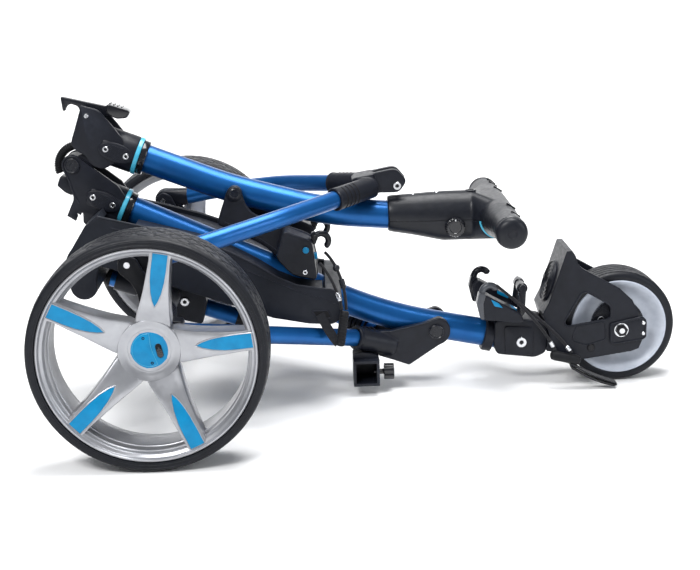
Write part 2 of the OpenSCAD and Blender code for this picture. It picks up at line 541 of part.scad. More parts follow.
// ---------- rear wheels, drawn for the near side (-Y) ----------
wy = -track / 2;
function star(o = 0) = [for (k = [0 : spokes - 1]) let (a = 79.3 + 360 / spokes * k, w = 180 / spokes)
  each [for (q = [[-w, 39 + o, 0], [0, 62, -18.8], [0, 132, -13.4], [0, 132, 13.4], [0, 62, 18.8]])
    q[1] * [cos(a + q[0]), sin(a + q[0])] + q[2] * [-sin(a), cos(a)]]];
function insert(k, o = 0) = let (a = 79.3 + 360 / spokes * k)
  [for (q = [[129 + o, -9.2 - o], [129 + o, 9.2 + o], [112, 9.4 + o], [96, 8.8 + o], [80, 6.6 + o], [68, 3.4 + o], [61 - o, 0], [68, -3.4 - o], [80, -6.6 - o], [96, -8.8 - o], [112, -9.4 - o]])
    q[0] * [cos(a), sin(a)] + q[1] * [-sin(a), cos(a)]];
// solid of revolution about the axle, profile as radius and Y
module turned(p) rotate([90, 0, 0]) mirror([0, 0, 1]) rotate_extrude($fn = 128) polygon(p);
f0 = -330;   // outer face of the near wheel
module spoke_body() intersection() {
  plate(star(), f0, f0 + 70);
  turned([[0, f0 + 37], [30, f0 + 33], [60, f0 + 20], [100, f0 + 9], [133, f0 + 4], [133, f0 + 30], [100, f0 + 38], [60, f0 + 48], [36, f0 + 60], [0, f0 + 60]]);
}
module near_rim() color([0.72, 0.73, 0.76]) difference() {
  union() {
    spoke_body();
    turned([[138.6, f0 + 2], [136, f0], [130, f0 + 1], [128, f0 + 4], [127, f0 + 12], [124.5, f0 + 34], [126, f0 + 71], [128, f0 + 74], [136, f0 + 74.5], [138.6, f0 + 72]]);
    ybar([0, 0], f0 + 35, f0 + 76, 28);
  }
  ybar([0, 0], f0 - 5, f0 + 90, axle_r + fit);
  ybar([0, 0], f0 - 5, f0 + 38.5, 26.4);
  for (k = [0 : spokes - 1]) intersection() {
    plate(insert(k, 0.2), f0, f0 + 30);
    turned([[50, f0], [140, f0 - 10], [140, f0 + 4.6], [133, f0 + 5.2], [100, f0 + 10.2], [60, f0 + 21.2], [50, f0 + 24.4]]);
  }
}
module near_wheel_trim() color([0.0, 0.6, 0.8]) {
  for (k = [0 : spokes - 1]) intersection() {
    plate(insert(k), f0, f0 + 30);
    turned([[50, f0 + 22.4], [60, f0 + 19.5], [100, f0 + 8.5], [133, f0 + 3.5], [133, f0 + 5.1], [100, f0 + 10.1], [60, f0 + 21.1], [50, f0 + 24.3]]);
  }
  difference() {
    turned([[0, f0 + 33], [22, f0 + 33], [23, f0 + 31.6], [25.6, f0 + 31.6], [26.2, f0 + 32.6], [26.2, f0 + 38.4], [0, f0 + 38.4]]);
    turned([[0, f0 + 36.2], [axle_r + 0.6, f0 + 36.2], [axle_r + 0.6, f0 + 43], [0, f0 + 43]]);
    plate(slot_pts(9.6, 4.2), f0 + 10, f0 + 34.8);
  }
}
rel_c = [12.4, -1];
rel_a = 102;
function slot_pts(L, w) = let (c = rel_c, u = [cos(rel_a), sin(rel_a)], v = [-sin(rel_a), cos(rel_a)])
  concat([for (t = [-90 : 18 : 90]) c + u * (L - w) + w * (u * cos(t) + v * sin(t))], [for (t = [90 : 18 : 270]) c - u * (L - w) + w * (u * cos(t) + v * sin(t))]);
module near_release() color([0.08, 0.08, 0.1]) plate([for (q = slot_pts(6.8, 4)) q - 2.6 * [cos(rel_a), sin(rel_a)]], f0 + 31.4, f0 + 34.7);
module near_tyre() color([0.09, 0.1, 0.11]) turned([[138.65, f0 + 2.5], [139.5, f0 + 0.8], [148, f0], [150.5, f0 + 2.5], [152, f0 + 14], [rr, f0 + 30],
    [rr, f0 + 45], [152, f0 + 61], [150.5, f0 + 72.5], [148, f0 + 75], [139.5, f0 + 74.2], [138.65, f0 + 72.5]]);

place() main_tube();
place() lower_hinge_bracket();
place() lower_pads();
place() lower_ring();
place() hinge_pin();
place() frame_screws();
place() battery_housing();
place() battery_deck();
place() battery_pack();
place() upper_cradle();
place() upper_cradle_clips();
place() cradle_inserts();
place() front_bracket();
place() front_cradle();
place() front_cradle_clips();
place() fork();
place() axle_adjusters();
place() front_axle();
place() leg_pin();
place() cable_conduit();
place() rear_bungee_cords();
place() rear_bungee_handle();
place() front_bungee_cords();
place() front_bungee_handle();
place() pull_tab();
place() front_rim();
place() front_tyre();
place() handle_tube();
place() upper_hinge_bracket();
place() upper_pads();
place() upper_ring();
place() grip_lower_shell();
place() grip_upper_shell();
place() bar_end_caps();
place() handle_screws();
place() latch_lever();
place() speed_knob();
place() leg_bracket();
place() leg_tubes();
place() axle_tube();
place() motor_housings();
place() spur_tube();
place() spur_fittings();
place() accessory_socket();
place() { rear_axle(); stay_pivots(); }
place() thumb_screw();
place() stay_tubes();
place() stay_bracket();
place() stay_ends();
place() near_tyre();
place() near_rim();
place() near_wheel_trim();
place() near_release();
place() mirror([0, 1, 0]) near_tyre();  // far_tyre
place() mirror([0, 1, 0]) near_rim();  // far_rim
place() mirror([0, 1, 0]) near_wheel_trim();  // far_wheel_trim
place() mirror([0, 1, 0]) near_release();  // far_release
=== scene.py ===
import math

import bmesh
import bpy
import numpy as np
from mathutils import Matrix, Vector


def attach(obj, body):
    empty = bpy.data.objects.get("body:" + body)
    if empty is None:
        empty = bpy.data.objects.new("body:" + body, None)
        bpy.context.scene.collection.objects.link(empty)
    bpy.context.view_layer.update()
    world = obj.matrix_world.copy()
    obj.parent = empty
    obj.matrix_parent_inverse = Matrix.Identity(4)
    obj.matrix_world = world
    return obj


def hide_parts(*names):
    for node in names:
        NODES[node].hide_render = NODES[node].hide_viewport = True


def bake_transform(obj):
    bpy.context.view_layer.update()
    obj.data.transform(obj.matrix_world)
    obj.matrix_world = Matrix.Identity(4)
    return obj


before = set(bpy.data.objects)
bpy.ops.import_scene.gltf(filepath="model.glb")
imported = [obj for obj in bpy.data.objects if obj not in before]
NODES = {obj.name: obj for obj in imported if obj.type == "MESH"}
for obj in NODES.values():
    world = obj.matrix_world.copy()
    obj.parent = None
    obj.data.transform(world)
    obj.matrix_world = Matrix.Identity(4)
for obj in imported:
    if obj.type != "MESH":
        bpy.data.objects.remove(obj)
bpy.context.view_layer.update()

# Shapes are given in millimetres about the rear axle line, as in the CAD source.
OFF = Vector((-290.25, 0.0, 152.5))


def row(p):
    return (Vector(p) + OFF) / 1000.0


# ------------------------------------------------------------------ materials
def shade(name, dark, light, rough=0.4, rvar=0.08, metal=0.0, spec=0.5, coat=0.0, coat_rough=0.1,
          scale=60.0, bumps=(), edge_highlight=None, sheen=0.0, aniso=0.0):
    m = bpy.data.materials.new(name)
    m.use_nodes = True
    nt = m.node_tree
    n, l = nt.nodes, nt.links
    b = n["Principled BSDF"]
    b.inputs["Metallic"].default_value = metal
    b.inputs["Specular IOR Level"].default_value = spec
    b.inputs["Coat Weight"].default_value = coat
    b.inputs["Coat Roughness"].default_value = coat_rough
    b.inputs["Sheen Weight"].default_value = sheen
    b.inputs["Anisotropic"].default_value = aniso
    tc = n.new("ShaderNodeTexCoord")
    noi = n.new("ShaderNodeTexNoise")
    noi.inputs["Scale"].default_value = scale
    noi.inputs["Detail"].default_value = 5.0
    l.new(tc.outputs["Object"], noi.inputs["Vector"])
    ramp = n.new("ShaderNodeValToRGB")
    ramp.color_ramp.elements[0].position = 0.3
    ramp.color_ramp.elements[1].position = 0.7
    ramp.color_ramp.elements[0].color = (*dark, 1)
    ramp.color_ramp.elements[1].color = (*light, 1)
    l.new(noi.outputs["Fac"], ramp.inputs["Fac"])
    col = ramp.outputs["Color"]
    # painted edge highlight: the colour is lightened towards the given colour where Pointiness marks convex edges,
    # broken up by fine noise
    if edge_highlight:
        geo = n.new("ShaderNodeNewGeometry")
        edge_ramp = n.new("ShaderNodeValToRGB")
        edge_ramp.color_ramp.elements[0].position = edge_highlight[1]
        edge_ramp.color_ramp.elements[1].position = edge_highlight[2]
        l.new(geo.outputs["Pointiness"], edge_ramp.inputs["Fac"])
        mul = n.new("ShaderNodeMath")
        mul.operation = "MULTIPLY"
        n2 = n.new("ShaderNodeTexNoise")
        n2.inputs["Scale"].default_value = 220.0
        l.new(tc.outputs["Object"], n2.inputs["Vector"])
        l.new(edge_ramp.outputs["Color"], mul.inputs[0])
        l.new(n2.outputs["Fac"], mul.inputs[1])
        mix = n.new("ShaderNodeMix")
        mix.data_type = "RGBA"
        l.new(mul.outputs[0], mix.inputs["Factor"])
        l.new(col, mix.inputs[6])
        mix.inputs[7].default_value = (*edge_highlight[0], 1)
        col = mix.outputs[2]
    l.new(col, b.inputs["Base Color"])
    nr = n.new("ShaderNodeTexNoise")
    nr.inputs["Scale"].default_value = scale * 2.7
    nr.inputs["Detail"].default_value = 3.0
    l.new(tc.outputs["Object"], nr.inputs["Vector"])
    mr = n.new("ShaderNodeMapRange")
    mr.inputs["From Min"].default_value = 0.3
    mr.inputs["From Max"].default_value = 0.7
    mr.inputs["To Min"].default_value = max(rough - rvar, 0.03)
    mr.inputs["To Max"].default_value = rough + rvar
    l.new(nr.outputs["Fac"], mr.inputs["Value"])
    l.new(mr.outputs["Result"], b.inputs["Roughness"])
    last = None
    for kind, sc, strength, dist in bumps:
        if kind == "noise":
            t = n.new("ShaderNodeTexNoise")
            t.inputs["Scale"].default_value = sc
            t.inputs["Detail"].default_value = 2.0
            l.new(tc.outputs["Object"], t.inputs["Vector"])
            out = t.outputs["Fac"]
        elif kind == "voronoi":
            t = n.new("ShaderNodeTexVoronoi")
            t.inputs["Scale"].default_value = sc
            l.new(tc.outputs["Object"], t.inputs["Vector"])
            out = t.outputs["Distance"]
        elif kind == "brush":
            mp = n.new("ShaderNodeMapping")
            mp.inputs["Scale"].default_value = (0.04, 1.0, 1.0)
            t = n.new("ShaderNodeTexNoise")
            t.inputs["Scale"].default_value = sc
            l.new(tc.outputs["Object"], mp.inputs["Vector"])
            l.new(mp.outputs["Vector"], t.inputs["Vector"])
            out = t.outputs["Fac"]
        else:  # weave: two crossed bands
            w1 = n.new("ShaderNodeTexWave")
            w1.bands_direction = "X"
            w1.inputs["Scale"].default_value = sc
            w2 = n.new("ShaderNodeTexWave")
            w2.bands_direction = "Y"
            w2.inputs["Scale"].default_value = sc * 0.7
            l.new(tc.outputs["Object"], w1.inputs["Vector"])
            l.new(tc.outputs["Object"], w2.inputs["Vector"])
            ad = n.new("ShaderNodeMath")
            ad.operation = "MAXIMUM"
            l.new(w1.outputs["Fac"], ad.inputs[0])
            l.new(w2.outputs["Fac"], ad.inputs[1])
            out = ad.outputs[0]
        bp = n.new("ShaderNodeBump")
        bp.inputs["Strength"].default_value = strength
        bp.inputs["Distance"].default_value = dist
        l.new(out, bp.inputs["Height"])
        if last:
            l.new(last, bp.inputs["Normal"])
        last = bp.outputs["Normal"]
    if last:
        l.new(last, b.inputs["Normal"])
    return m


BLUE = shade("blue_anodised", (0.002, 0.072, 0.25), (0.0035, 0.092, 0.30), 0.36, 0.02, metal=0.7, spec=0.4, coat=0.16,
             coat_rough=0.2, scale=35)
CAST = shade("black_moulded", (0.0050, 0.0060, 0.0100), (0.0078, 0.0092, 0.0145), 0.40, 0.07, spec=0.22, scale=70,
             bumps=[("noise", 2600, 0.12, 0.00012)], edge_highlight=((0.022, 0.025, 0.035), 0.54, 0.64))
SATIN = shade("black_satin", (0.0048, 0.0056, 0.0090), (0.0070, 0.0082, 0.0125), 0.28, 0.06, spec=0.28, coat=0.08, coat_rough=0.15,
              scale=60, bumps=[("noise", 1800, 0.05, 0.0001)], edge_highlight=((0.02, 0.022, 0.03), 0.54, 0.64))
GLOSS = shade("black_gloss", (0.004, 0.0045, 0.007), (0.006, 0.0065, 0.009), 0.16, 0.04, spec=0.4, coat=0.3, coat_rough=0.06, scale=50)
HOUSE = shade("housing_grey_black", (0.0072, 0.0086, 0.0130), (0.0102, 0.0120, 0.0175), 0.52, 0.06, spec=0.17, scale=45,
              bumps=[("noise", 2200, 0.16, 0.00014)], edge_highlight=((0.03, 0.033, 0.043), 0.54, 0.64))
CYAN = shade("cyan_insert", (0.0003, 0.16, 0.34), (0.0008, 0.205, 0.42), 0.36, 0.05, spec=0.2, coat=0.05, scale=80,
             bumps=[("noise", 1500, 0.05, 0.0001)])
CYRING = shade("cyan_ring", (0.035, 0.30, 0.45), (0.06, 0.37, 0.53), 0.30, 0.05, spec=0.4, coat=0.2, scale=90,
               bumps=[("noise", 1500, 0.05, 0.0001)])
SILVER = shade("silver_rim", (0.31, 0.315, 0.335), (0.37, 0.375, 0.395), 0.33, 0.04, metal=0.72, spec=0.5, coat=0.12, scale=50,
               bumps=[("noise", 2400, 0.02, 0.00005)])
FRIM = shade("pale_rim", (0.34, 0.37, 0.43), (0.44, 0.47, 0.53), 0.42, 0.06, spec=0.45, scale=60,
             bumps=[("noise", 2000, 0.08, 0.0001)], edge_highlight=((0.5, 0.55, 0.66), 0.54, 0.64))
TYRE = shade("tyre_rubber", (0.0035, 0.0042, 0.0068), (0.0056, 0.0066, 0.0102), 0.46, 0.09, spec=0.24, scale=55,
             bumps=[("noise", 1400, 0.18, 0.0002)], edge_highlight=((0.016, 0.019, 0.027), 0.54, 0.64))
RUBBER = shade("soft_rubber", (0.0042, 0.0046, 0.006), (0.0066, 0.007, 0.009), 0.55, 0.08, spec=0.18, scale=90,
               bumps=[("noise", 2200, 0.2, 0.00015)], sheen=0.04)
GRIP = shade("soft_touch", (0.0054, 0.0064, 0.0098), (0.0078, 0.0090, 0.0132), 0.38, 0.05, spec=0.26, scale=70,
             bumps=[("noise", 3000, 0.12, 0.0001)], edge_highlight=((0.02, 0.022, 0.03), 0.54, 0.64))
STEEL = shade("zinc_steel", (0.50, 0.51, 0.53), (0.64, 0.65, 0.67), 0.24, 0.06, metal=1.0, scale=120,
              bumps=[("brush", 1200, 0.08, 0.0001)])
ALU = shade("cast_alloy", (0.30, 0.31, 0.34), (0.42, 0.43, 0.46), 0.36, 0.07, metal=0.9, scale=90, bumps=[("noise", 1500, 0.15, 0.0001)])
DARK = shade("black_oxide", (0.005, 0.005, 0.0065), (0.009, 0.009, 0.011), 0.34, 0.08, metal=0.3, spec=0.3, scale=100,
             bumps=[("noise", 1500, 0.1, 0.0001)])
WEB = shade("webbing", (0.006, 0.0066, 0.009), (0.010, 0.011, 0.0145), 0.68, 0.06, spec=0.15, scale=400, sheen=0.15,
            bumps=[("weave", 260, 0.6, 0.0004)])
CORD = shade("cord_sleeve", (0.005, 0.005, 0.0068), (0.0095, 0.0095, 0.0125), 0.60, 0.07, spec=0.18, scale=500, sheen=0.1,
             bumps=[("weave", 520, 0.5, 0.0003)])
# a lighter grey copy of the black satin, used only for the near front clip: painted light on the near side
NEAR_LIT_SATIN = shade("satin_painted_lit", (0.035, 0.038, 0.046), (0.050, 0.054, 0.064), 0.34, 0.05, spec=0.4, coat=0.1, coat_rough=0.15, scale=60,
             bumps=[("noise", 1800, 0.05, 0.0001)])
# near-black colour laid into slots, holes, sockets and seam gaps: painted shade in the recesses
RECESS_SHADE = shade("recess_painted_shade", (0.003, 0.003, 0.004), (0.005, 0.005, 0.007), 0.6, 0.05, spec=0.2, scale=80)


# ------------------------------------------------------------------ mesh tools
def yaxis(c, y=0.0):
    """local z along +Y, about the point c = (x, z)"""
    return Matrix(((1, 0, 0, c[0]), (0, 0, 1, y), (0, -1, 0, c[1]), (0, 0, 0, 1)))


def xz(c, u):
    """local z along u = (ux, uz) in the X-Z plane, at c"""
    u = Vector((u[0], 0, u[1])).normalized()
    return frame_at((c[0], 0, c[1]), u)


def frame_at(c, d):
    d = Vector(d).normalized()
    a = Vector((0, 1, 0)) if abs(d.y) < 0.8 else Vector((1, 0, 0))
    x = a.cross(d).normalized()
    y = d.cross(x)
    return Matrix(((x.x, y.x, d.x, c[0]), (x.y, y.y, d.y, c[1]), (x.z, y.z, d.z, c[2]), (0, 0, 0, 1)))


def smooth_by_angle(bm, deg=32):
    lim = math.radians(deg)
    for f in bm.faces:
        f.smooth = True
    for e in bm.edges:
        e.smooth = not (len(e.link_faces) != 2 or e.calc_face_angle(0) > lim)


class Part:
    def __init__(self, name, body, rep=(), slot=None):
        self.name, self.body, self.rep, self.slot = name, body, rep, slot
        self.bm = bmesh.new()
        self.mats = []

    def take(self, b, mat, bev=0.0, seg=2, flip_check=True):
        if flip_check:
            bmesh.ops.recalc_face_normals(b, faces=b.faces[:])
        if bev > 0:
            es = [e for e in b.edges if len(e.link_faces) == 2 and e.calc_face_angle(0) > math.radians(28)]
            bmesh.ops.bevel(b, geom=es, offset=bev, offset_type="OFFSET", segments=seg, profile=0.5, affect="EDGES", clamp_overlap=True)
        if mat not in self.mats:
            self.mats.append(mat)
        i = self.mats.index(mat)
        for f in b.faces:
            f.material_index = i
        me = bpy.data.meshes.new("tmp")
        b.to_mesh(me)
        b.free()
        self.bm.from_mesh(me)
        bpy.data.meshes.remove(me)
        return self

    def raw(self, verts, faces, mat, bev=0.0, seg=2, flip_check=True):
        b = bmesh.new()
        vs = [b.verts.new(v) for v in verts]
        for f in faces:
            try:
                b.faces.new([vs[i] for i in f])
            except ValueError:
                pass
        return self.take(b, mat, bev, seg, flip_check)

    def prism(self, pts, y0, y1, mat, bev=1.2, seg=2, both=False, M=None):
        """outline in X and Z, extruded across Y (or through M's local z)"""
        for s in ((1, -1) if both else (1,)):
            n = len(pts)
            v = [(p[0], s * y0, p[1]) for p in pts] + [(p[0], s * y1, p[1]) for p in pts]
            if M is not None:
                v = [tuple(M @ Vector((p[0], p[1], y0))) for p in pts] + [tuple(M @ Vector((p[0], p[1], y1))) for p in pts]
            f = [list(range(n)), list(range(2 * n - 1, n - 1, -1))] + [[i, (i + 1) % n, n + (i + 1) % n, n + i] for i in range(n)]
            self.raw(v, f, mat, bev, seg)
        return self

    def lathe(self, prof, M, mat, n=64, closed=False):
        """profile of (radius, height) turned about M's local z; ends on the axis close themselves"""
        v, rings = [], []
        for r, h in prof:
            if r < 1e-6:
                rings.append([len(v)])
                v.append(M @ Vector((0, 0, h)))
            else:
                rings.append(list(range(len(v), len(v) + n)))
                for k in range(n):
                    a = 2 * math.pi * k / n
                    v.append(M @ Vector((r * math.cos(a), r * math.sin(a), h)))
        f = []
        seq = list(zip(rings, rings[1:])) + ([(rings[-1], rings[0])] if closed else [])
        for a, b in seq:
            if len(a) == 1 and len(b) == 1:
                continue
            for k in range(n):
                k2 = (k + 1) % n
                if len(a) == 1:
                    f.append([a[0], b[k], b[k2]])
                elif len(b) == 1:
                    f.append([a[k], b[0], a[k2]])
                else:
                    f.append([a[k], a[k2], b[k2], b[k]])
        if not closed:
            for r in (rings[0], rings[-1]):
                if len(r) > 1:
                    f.append(r[:])
        return self.raw([tuple(x) for x in v], f, mat)

    def tube(self, pts, r, mat, n=24, caps=True, squash=None):
        """round bar swept along points; r may be a list; squash is not used"""
        P = [Vector(p) for p in pts]
        R = r if isinstance(r, (list, tuple)) else [r] * len(P)
        t0 = (P[1] - P[0]).normalized()
        a = Vector((0, 1, 0)) if abs(t0.y) < 0.8 else Vector((1, 0, 0))
        x = (a - t0 * a.dot(t0)).normalized()
        v, f = [], []
        for i, p in enumerate(P):
            t = (P[min(i + 1, len(P) - 1)] - P[max(i - 1, 0)]).normalized()
            x = (x - t * x.dot(t)).normalized()
            y = t.cross(x)
            for k in range(n):
                an = 2 * math.pi * k / n
                v.append(tuple(p + R[i] * (math.cos(an) * x + math.sin(an) * y)))
        for i in range(len(P) - 1):
            for k in range(n):
                k2 = (k + 1) % n
                f.append([i * n + k, i * n + k2, (i + 1) * n + k2, (i + 1) * n + k])
        if caps:
            f.append(list(range(n)))
            f.append(list(range((len(P) - 1) * n, len(P) * n)))
        return self.raw(v, f, mat)

    def hull(self, pts, mat, bev=0.0):
        b = bmesh.new()
        for p in pts:
            b.verts.new(p)
        r = bmesh.ops.convex_hull(b, input=b.verts[:])
        junk = list({g for k in ("geom_unused", "geom_interior") for g in r[k] if isinstance(g, bmesh.types.BMVert)})
        bmesh.ops.delete(b, geom=junk, context="VERTS")
        return self.take(b, mat, bev)

    def done(self, organic=None, angle=32, ride=True):
        bm = self.bm
        bmesh.ops.transform(bm, matrix=Matrix.Translation(OFF), verts=bm.verts[:])
        bmesh.ops.scale(bm, vec=(0.001,) * 3, verts=bm.verts[:])
        smooth_by_angle(bm, angle)
        me = bpy.data.meshes.new(self.name)
        bm.to_mesh(me)
        bm.free()
        for m in self.mats:
            me.materials.append(m)
        o = bpy.data.objects.new(self.name, me)
        bpy.context.scene.collection.objects.link(o)
        if organic:
            voxel, it = organic
            o = remesh(o, voxel / 1000.0, it)
        if ride:
            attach(o, self.body)
        if self.rep:
            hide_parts(*self.rep)
        return o


def remesh(o, voxel, it, factor=0.5):
    md = o.modifiers.new("r", "REMESH")
    md.mode = "VOXEL"
    md.voxel_size = voxel
    md.use_smooth_shade = True
    sm = o.modifiers.new("s", "SMOOTH")
    sm.iterations = it
    sm.factor = factor
    dg = bpy.context.evaluated_depsgraph_get()
    me = bpy.data.meshes.new_from_object(o.evaluated_get(dg), depsgraph=dg)
    mats = list(o.data.materials)
    o.modifiers.clear()
    o.data = me
    me.name = o.name
    if not me.materials:
        for m in mats:
            me.materials.append(m)
    for p in me.polygons:
        p.use_smooth = True
        p.material_index = 0
    return o


def soften(node, mat, voxel=1.2, it=3):
    """a CAD node keeps its mesh; modifiers round its edges as moulding does"""
    o = NODES[node]
    dress(node, mat)
    md = o.modifiers.new("round", "REMESH")
    md.mode = "VOXEL"
    md.voxel_size = voxel / 1000.0
    md.use_smooth_shade = True
    sm = o.modifiers.new("ease", "SMOOTH")
    sm.iterations = it
    sm.factor = 0.5
    return o


def dress(node, mat):
    o = NODES[node]
    o.data.materials.clear()
    o.data.materials.append(mat)
    for p in o.data.polygons:
        p.material_index = 0


def bend_path(pts, R, step=8):
    """centre line with each inner point bent to its radius"""
    P = [Vector(p) for p in pts]
    out = [P[0]]
    for i in range(1, len(P) - 1):
        a, p, b = P[i - 1], P[i], P[i + 1]
        if R[i] == 0:
            out.append(p)
            continue
        u, v = (a - p).normalized(), (b - p).normalized()
        th = math.pi - u.angle(v)
        c = p + (u + v).normalized() * R[i] / math.cos(th / 2)
        s = p + u * R[i] * math.tan(th / 2)
        ex, ey = (s - c).normalized(), -u
        for k in range(step + 1):
            t = th * k / step
            out.append(c + R[i] * (math.cos(t) * ex + math.sin(t) * ey))
    out.append(P[-1])
    dense = [out[0]]
    for a, b in zip(out, out[1:]):
        m = max(1, int((b - a).length / 25))
        dense += [a.lerp(b, k / m) for k in range(1, m + 1)]
    return dense


def bez(a, b, c, d, n=20):
    a, b, c, d = map(Vector, (a, b, c, d))
    return [a * (1 - t) ** 3 + 3 * b * t * (1 - t) ** 2 + 3 * c * t * t * (1 - t) + d * t ** 3 for t in (i / n for i in range(n + 1))]


def oval(c, a, b, ang, n=40):
    g = math.radians(ang)
    return [(c[0] + a * math.cos(t) * math.cos(g) - b * math.sin(t) * math.sin(g),
             c[1] + a * math.cos(t) * math.sin(g) + b * math.sin(t) * math.cos(g)) for t in (2 * math.pi * i / n for i in range(n))]


def arc(c, r, a0, a1, n=10):
    return [(c[0] + r * math.cos(math.radians(a0 + (a1 - a0) * i / n)), c[1] + r * math.sin(math.radians(a0 + (a1 - a0) * i / n)))
            for i in range(n + 1)]


def spline(pts, n=6):
    """closed outline smoothed through its points"""
    m = len(pts)
    out = []
    for i in range(m):
        p0, p1, p2, p3 = (Vector(pts[(i + k) % m]) for k in (-1, 0, 1, 2))
        for j in range(n):
            t = j / n
            out.append(tuple(0.5 * ((2 * p1) + (p2 - p0) * t + (2 * p0 - 5 * p1 + 4 * p2 - p3) * t * t + (3 * p1 - p0 - 3 * p2 + p3) * t ** 3)))
    return out


def rounded(pts, r=3.0, n=4):
    """outline with each corner cut to a small arc"""
    m = len(pts)
    out = []
    for i in range(m):
        a, p, b = Vector(pts[i - 1]), Vector(pts[i]), Vector(pts[(i + 1) % m])
        u, v = (a - p), (b - p)
        k = min(r, u.length * 0.45, v.length * 0.45)
        s, e = p + u.normalized() * k, p + v.normalized() * k
        for j in range(n + 1):
            t = j / n
            out.append(tuple(s * (1 - t) ** 2 + 2 * p * t * (1 - t) + e * t * t))
    return out


def bolt(part, c, y0, y1, r, hole, ring=STEEL, core=DARK, side=-1):
    """round socket-head screw seen from its side: bright rim, and a dark hexagon of painted shade in the socket"""
    M = yaxis(c)
    s = side
    part.lathe([(0, s * y0), (r * 0.96, s * y0), (r, s * (y0 + 0.4)), (r, s * (y1 - 0.5)), (r - 0.5, s * y1), (hole + 0.5, s * y1),
                (hole, s * (y1 - 0.4)), (hole, s * (y1 - 1.6)), (0, s * (y1 - 1.6))], M, ring, 32)
    h = [(c[0] + hole * 1.02 * math.cos(math.radians(60 * k + 15)), c[1] + hole * 1.02 * math.sin(math.radians(60 * k + 15))) for k in range(6)]
    part.prism(h, s * (y1 - 2.0), s * (y1 - 1.2), core, 0)


# ------------------------------------------------------------------ dimensions
A, P, B, F, K, S, N, T = (-128.2, 194.3), (385.5, -65.7), (-28.5, 98.7), (655.5, -69.5), (-103, 264), (415, 89), (333, 149), (281, -125)
MU = (math.cos(math.radians(-24.97)), math.sin(math.radians(-24.97)))
HU = (math.cos(math.radians(-21.8)), math.sin(math.radians(-21.8)))
LR, UR = (-61.4, 128.1), (-37.4, 201.9)
main_pts, main_R = [(-90, 0, 141.4), (160, 0, 25), (300, 0, -46), (532, 0, -94.5)], [0, 600, 600, 0]
handle_pts, handle_R = [(-94, 0, 224.6), (90, 0, 151), (230, 0, 112), (350, 0, 101.6)], [0, 700, 500, 0]
leg_pts = [(300, 22, -77.2), (24, 208.1, -2.9)]
stay_pts, stay_R = [(-6, 221.8, 97.7), (60, 205, 112), (165, 140, 131), (285, 27, 147)], [0, 260, 260, 0]


def along(c, u, s):
    return (c[0] + u[0] * s, c[1] + u[1] * s)


def side(pts, s):
    return [(p[0], p[1] * s, p[2]) for p in pts]


# ------------------------------------------------------------------ tubes
Part("main_tube_skin", "main_frame", ["main_tube"], "blue_tube").tube(bend_path(main_pts, main_R), 20.5, BLUE, 64).done()
Part("handle_tube_skin", "handle", ["handle_tube"], "blue_tube").tube(bend_path(handle_pts, handle_R), 20.5, BLUE, 64).done()
p = Part("leg_tube_skins", "leg_frame", ["leg_tubes"], "blue_tube")
for s in (1, -1):
    p.tube(bend_path(side(leg_pts, s), [0, 0]), 12.5, BLUE, 48)
p.done()
p = Part("stay_tube_skins", "stays", ["stay_tubes"], "blue_tube")
for s in (1, -1):
    p.tube(bend_path(side(stay_pts, s), stay_R), 12.5, BLUE, 48)
p.done()


# ------------------------------------------------------------------ hinge brackets
def knurl(part, c, ang, y0, side_sign, mat):
    """oval pad with a raised rim and rows of small dots"""
    g = math.radians(ang)
    s = side_sign
    part.prism(oval(c, 25, 13.5, ang, 48), s * 20, s * y0, mat, 1.4, 3)
    part.prism(oval(c, 21.5, 10.4, ang, 48), s * (y0 - 1), s * (y0 + 0.15), RECESS_SHADE if False else mat, 0.3, 1)
    step = 2.5
    for i in range(-9, 10):
        for j in range(-5, 6):
            u, v = (i + 0.5 * (j % 2)) * step, j * step * 0.87
            if (u / 20.4) ** 2 + (v / 9.4) ** 2 > 1 or min(abs(u - 15), abs(u + 15)) ** 2 + v * v < 5.6 ** 2:
                continue
            x, z = c[0] + u * math.cos(g) - v * math.sin(g), c[1] + u * math.sin(g) + v * math.cos(g)
            h = [(x + 0.86 * math.cos(k * math.pi / 3), s * (y0 + 0.1), z + 0.86 * math.sin(k * math.pi / 3)) for k in range(6)]
            h2 = [(x + 0.45 * math.cos(k * math.pi / 3), s * (y0 + 0.75), z + 0.45 * math.sin(k * math.pi / 3)) for k in range(6)]
            part.raw(h + h2, [[k, (k + 1) % 6, 6 + (k + 1) % 6, 6 + k] for k in range(6)] + [[6, 7, 8, 9, 10, 11], [5, 4, 3, 2, 1, 0]], mat)


def sleeve(part, c, u, mat):
    part.lathe([(20.6, -52), (25.2, -52), (26.6, -50.8), (27, -49), (27, -5), (26.4, -3.6), (25, -3.2), (20.6, -3.2)], xz(c, u), mat, 72)
    part.lathe([(20.6, 3.2), (24.4, 3.2), (25, 4), (25, 11), (24.2, 12.3), (22.6, 12.6), (20.6, 12.6)], xz(c, u), GLOSS, 72)


def cyan_ring(name, body, node, c, u):
    Part(name, body, [node], "cyan_ring").lathe([(23.1, -3.0), (26.6, -3.1), (27.3, -2.5), (27.5, 0), (27.3, 2.5), (26.6, 3.1), (23.1, 3.0)],
                                                xz(c, u), CYRING, 72, closed=True).done()


lug = arc(A, 15.2, 35, 205, 14) + [(-136, 172), (-130, 150), (-130.5, 144), (-141, 122), (-129, 114), (-125.5, 122), (-127, 124), (-124, 127),
                                   (-118, 125), (-118.5, 112), (-115, 107.5), (-97, 122), (-85, 112), (-70.8, 115.4), (-56.2, 146.9), (-66, 163)]
p = Part("lower_bracket_shell", "main_frame", ["lower_hinge_bracket"], "black_casting")
p.prism(lug, 18, 24, CAST, 0.5, 2, both=True)
sleeve(p, LR, MU, CAST)
p.prism([(-136, 150), (-143, 153.5), (-154, 164), (-149, 177), (-140, 176), (-137, 168), (-124, 166), (-115, 150)], -13, 13, CAST, 1.6, 3)
p.prism([(-128, 150), (-115, 152), (-105, 128), (-123, 129)], -18.6, 18.6, CAST, 0.6)
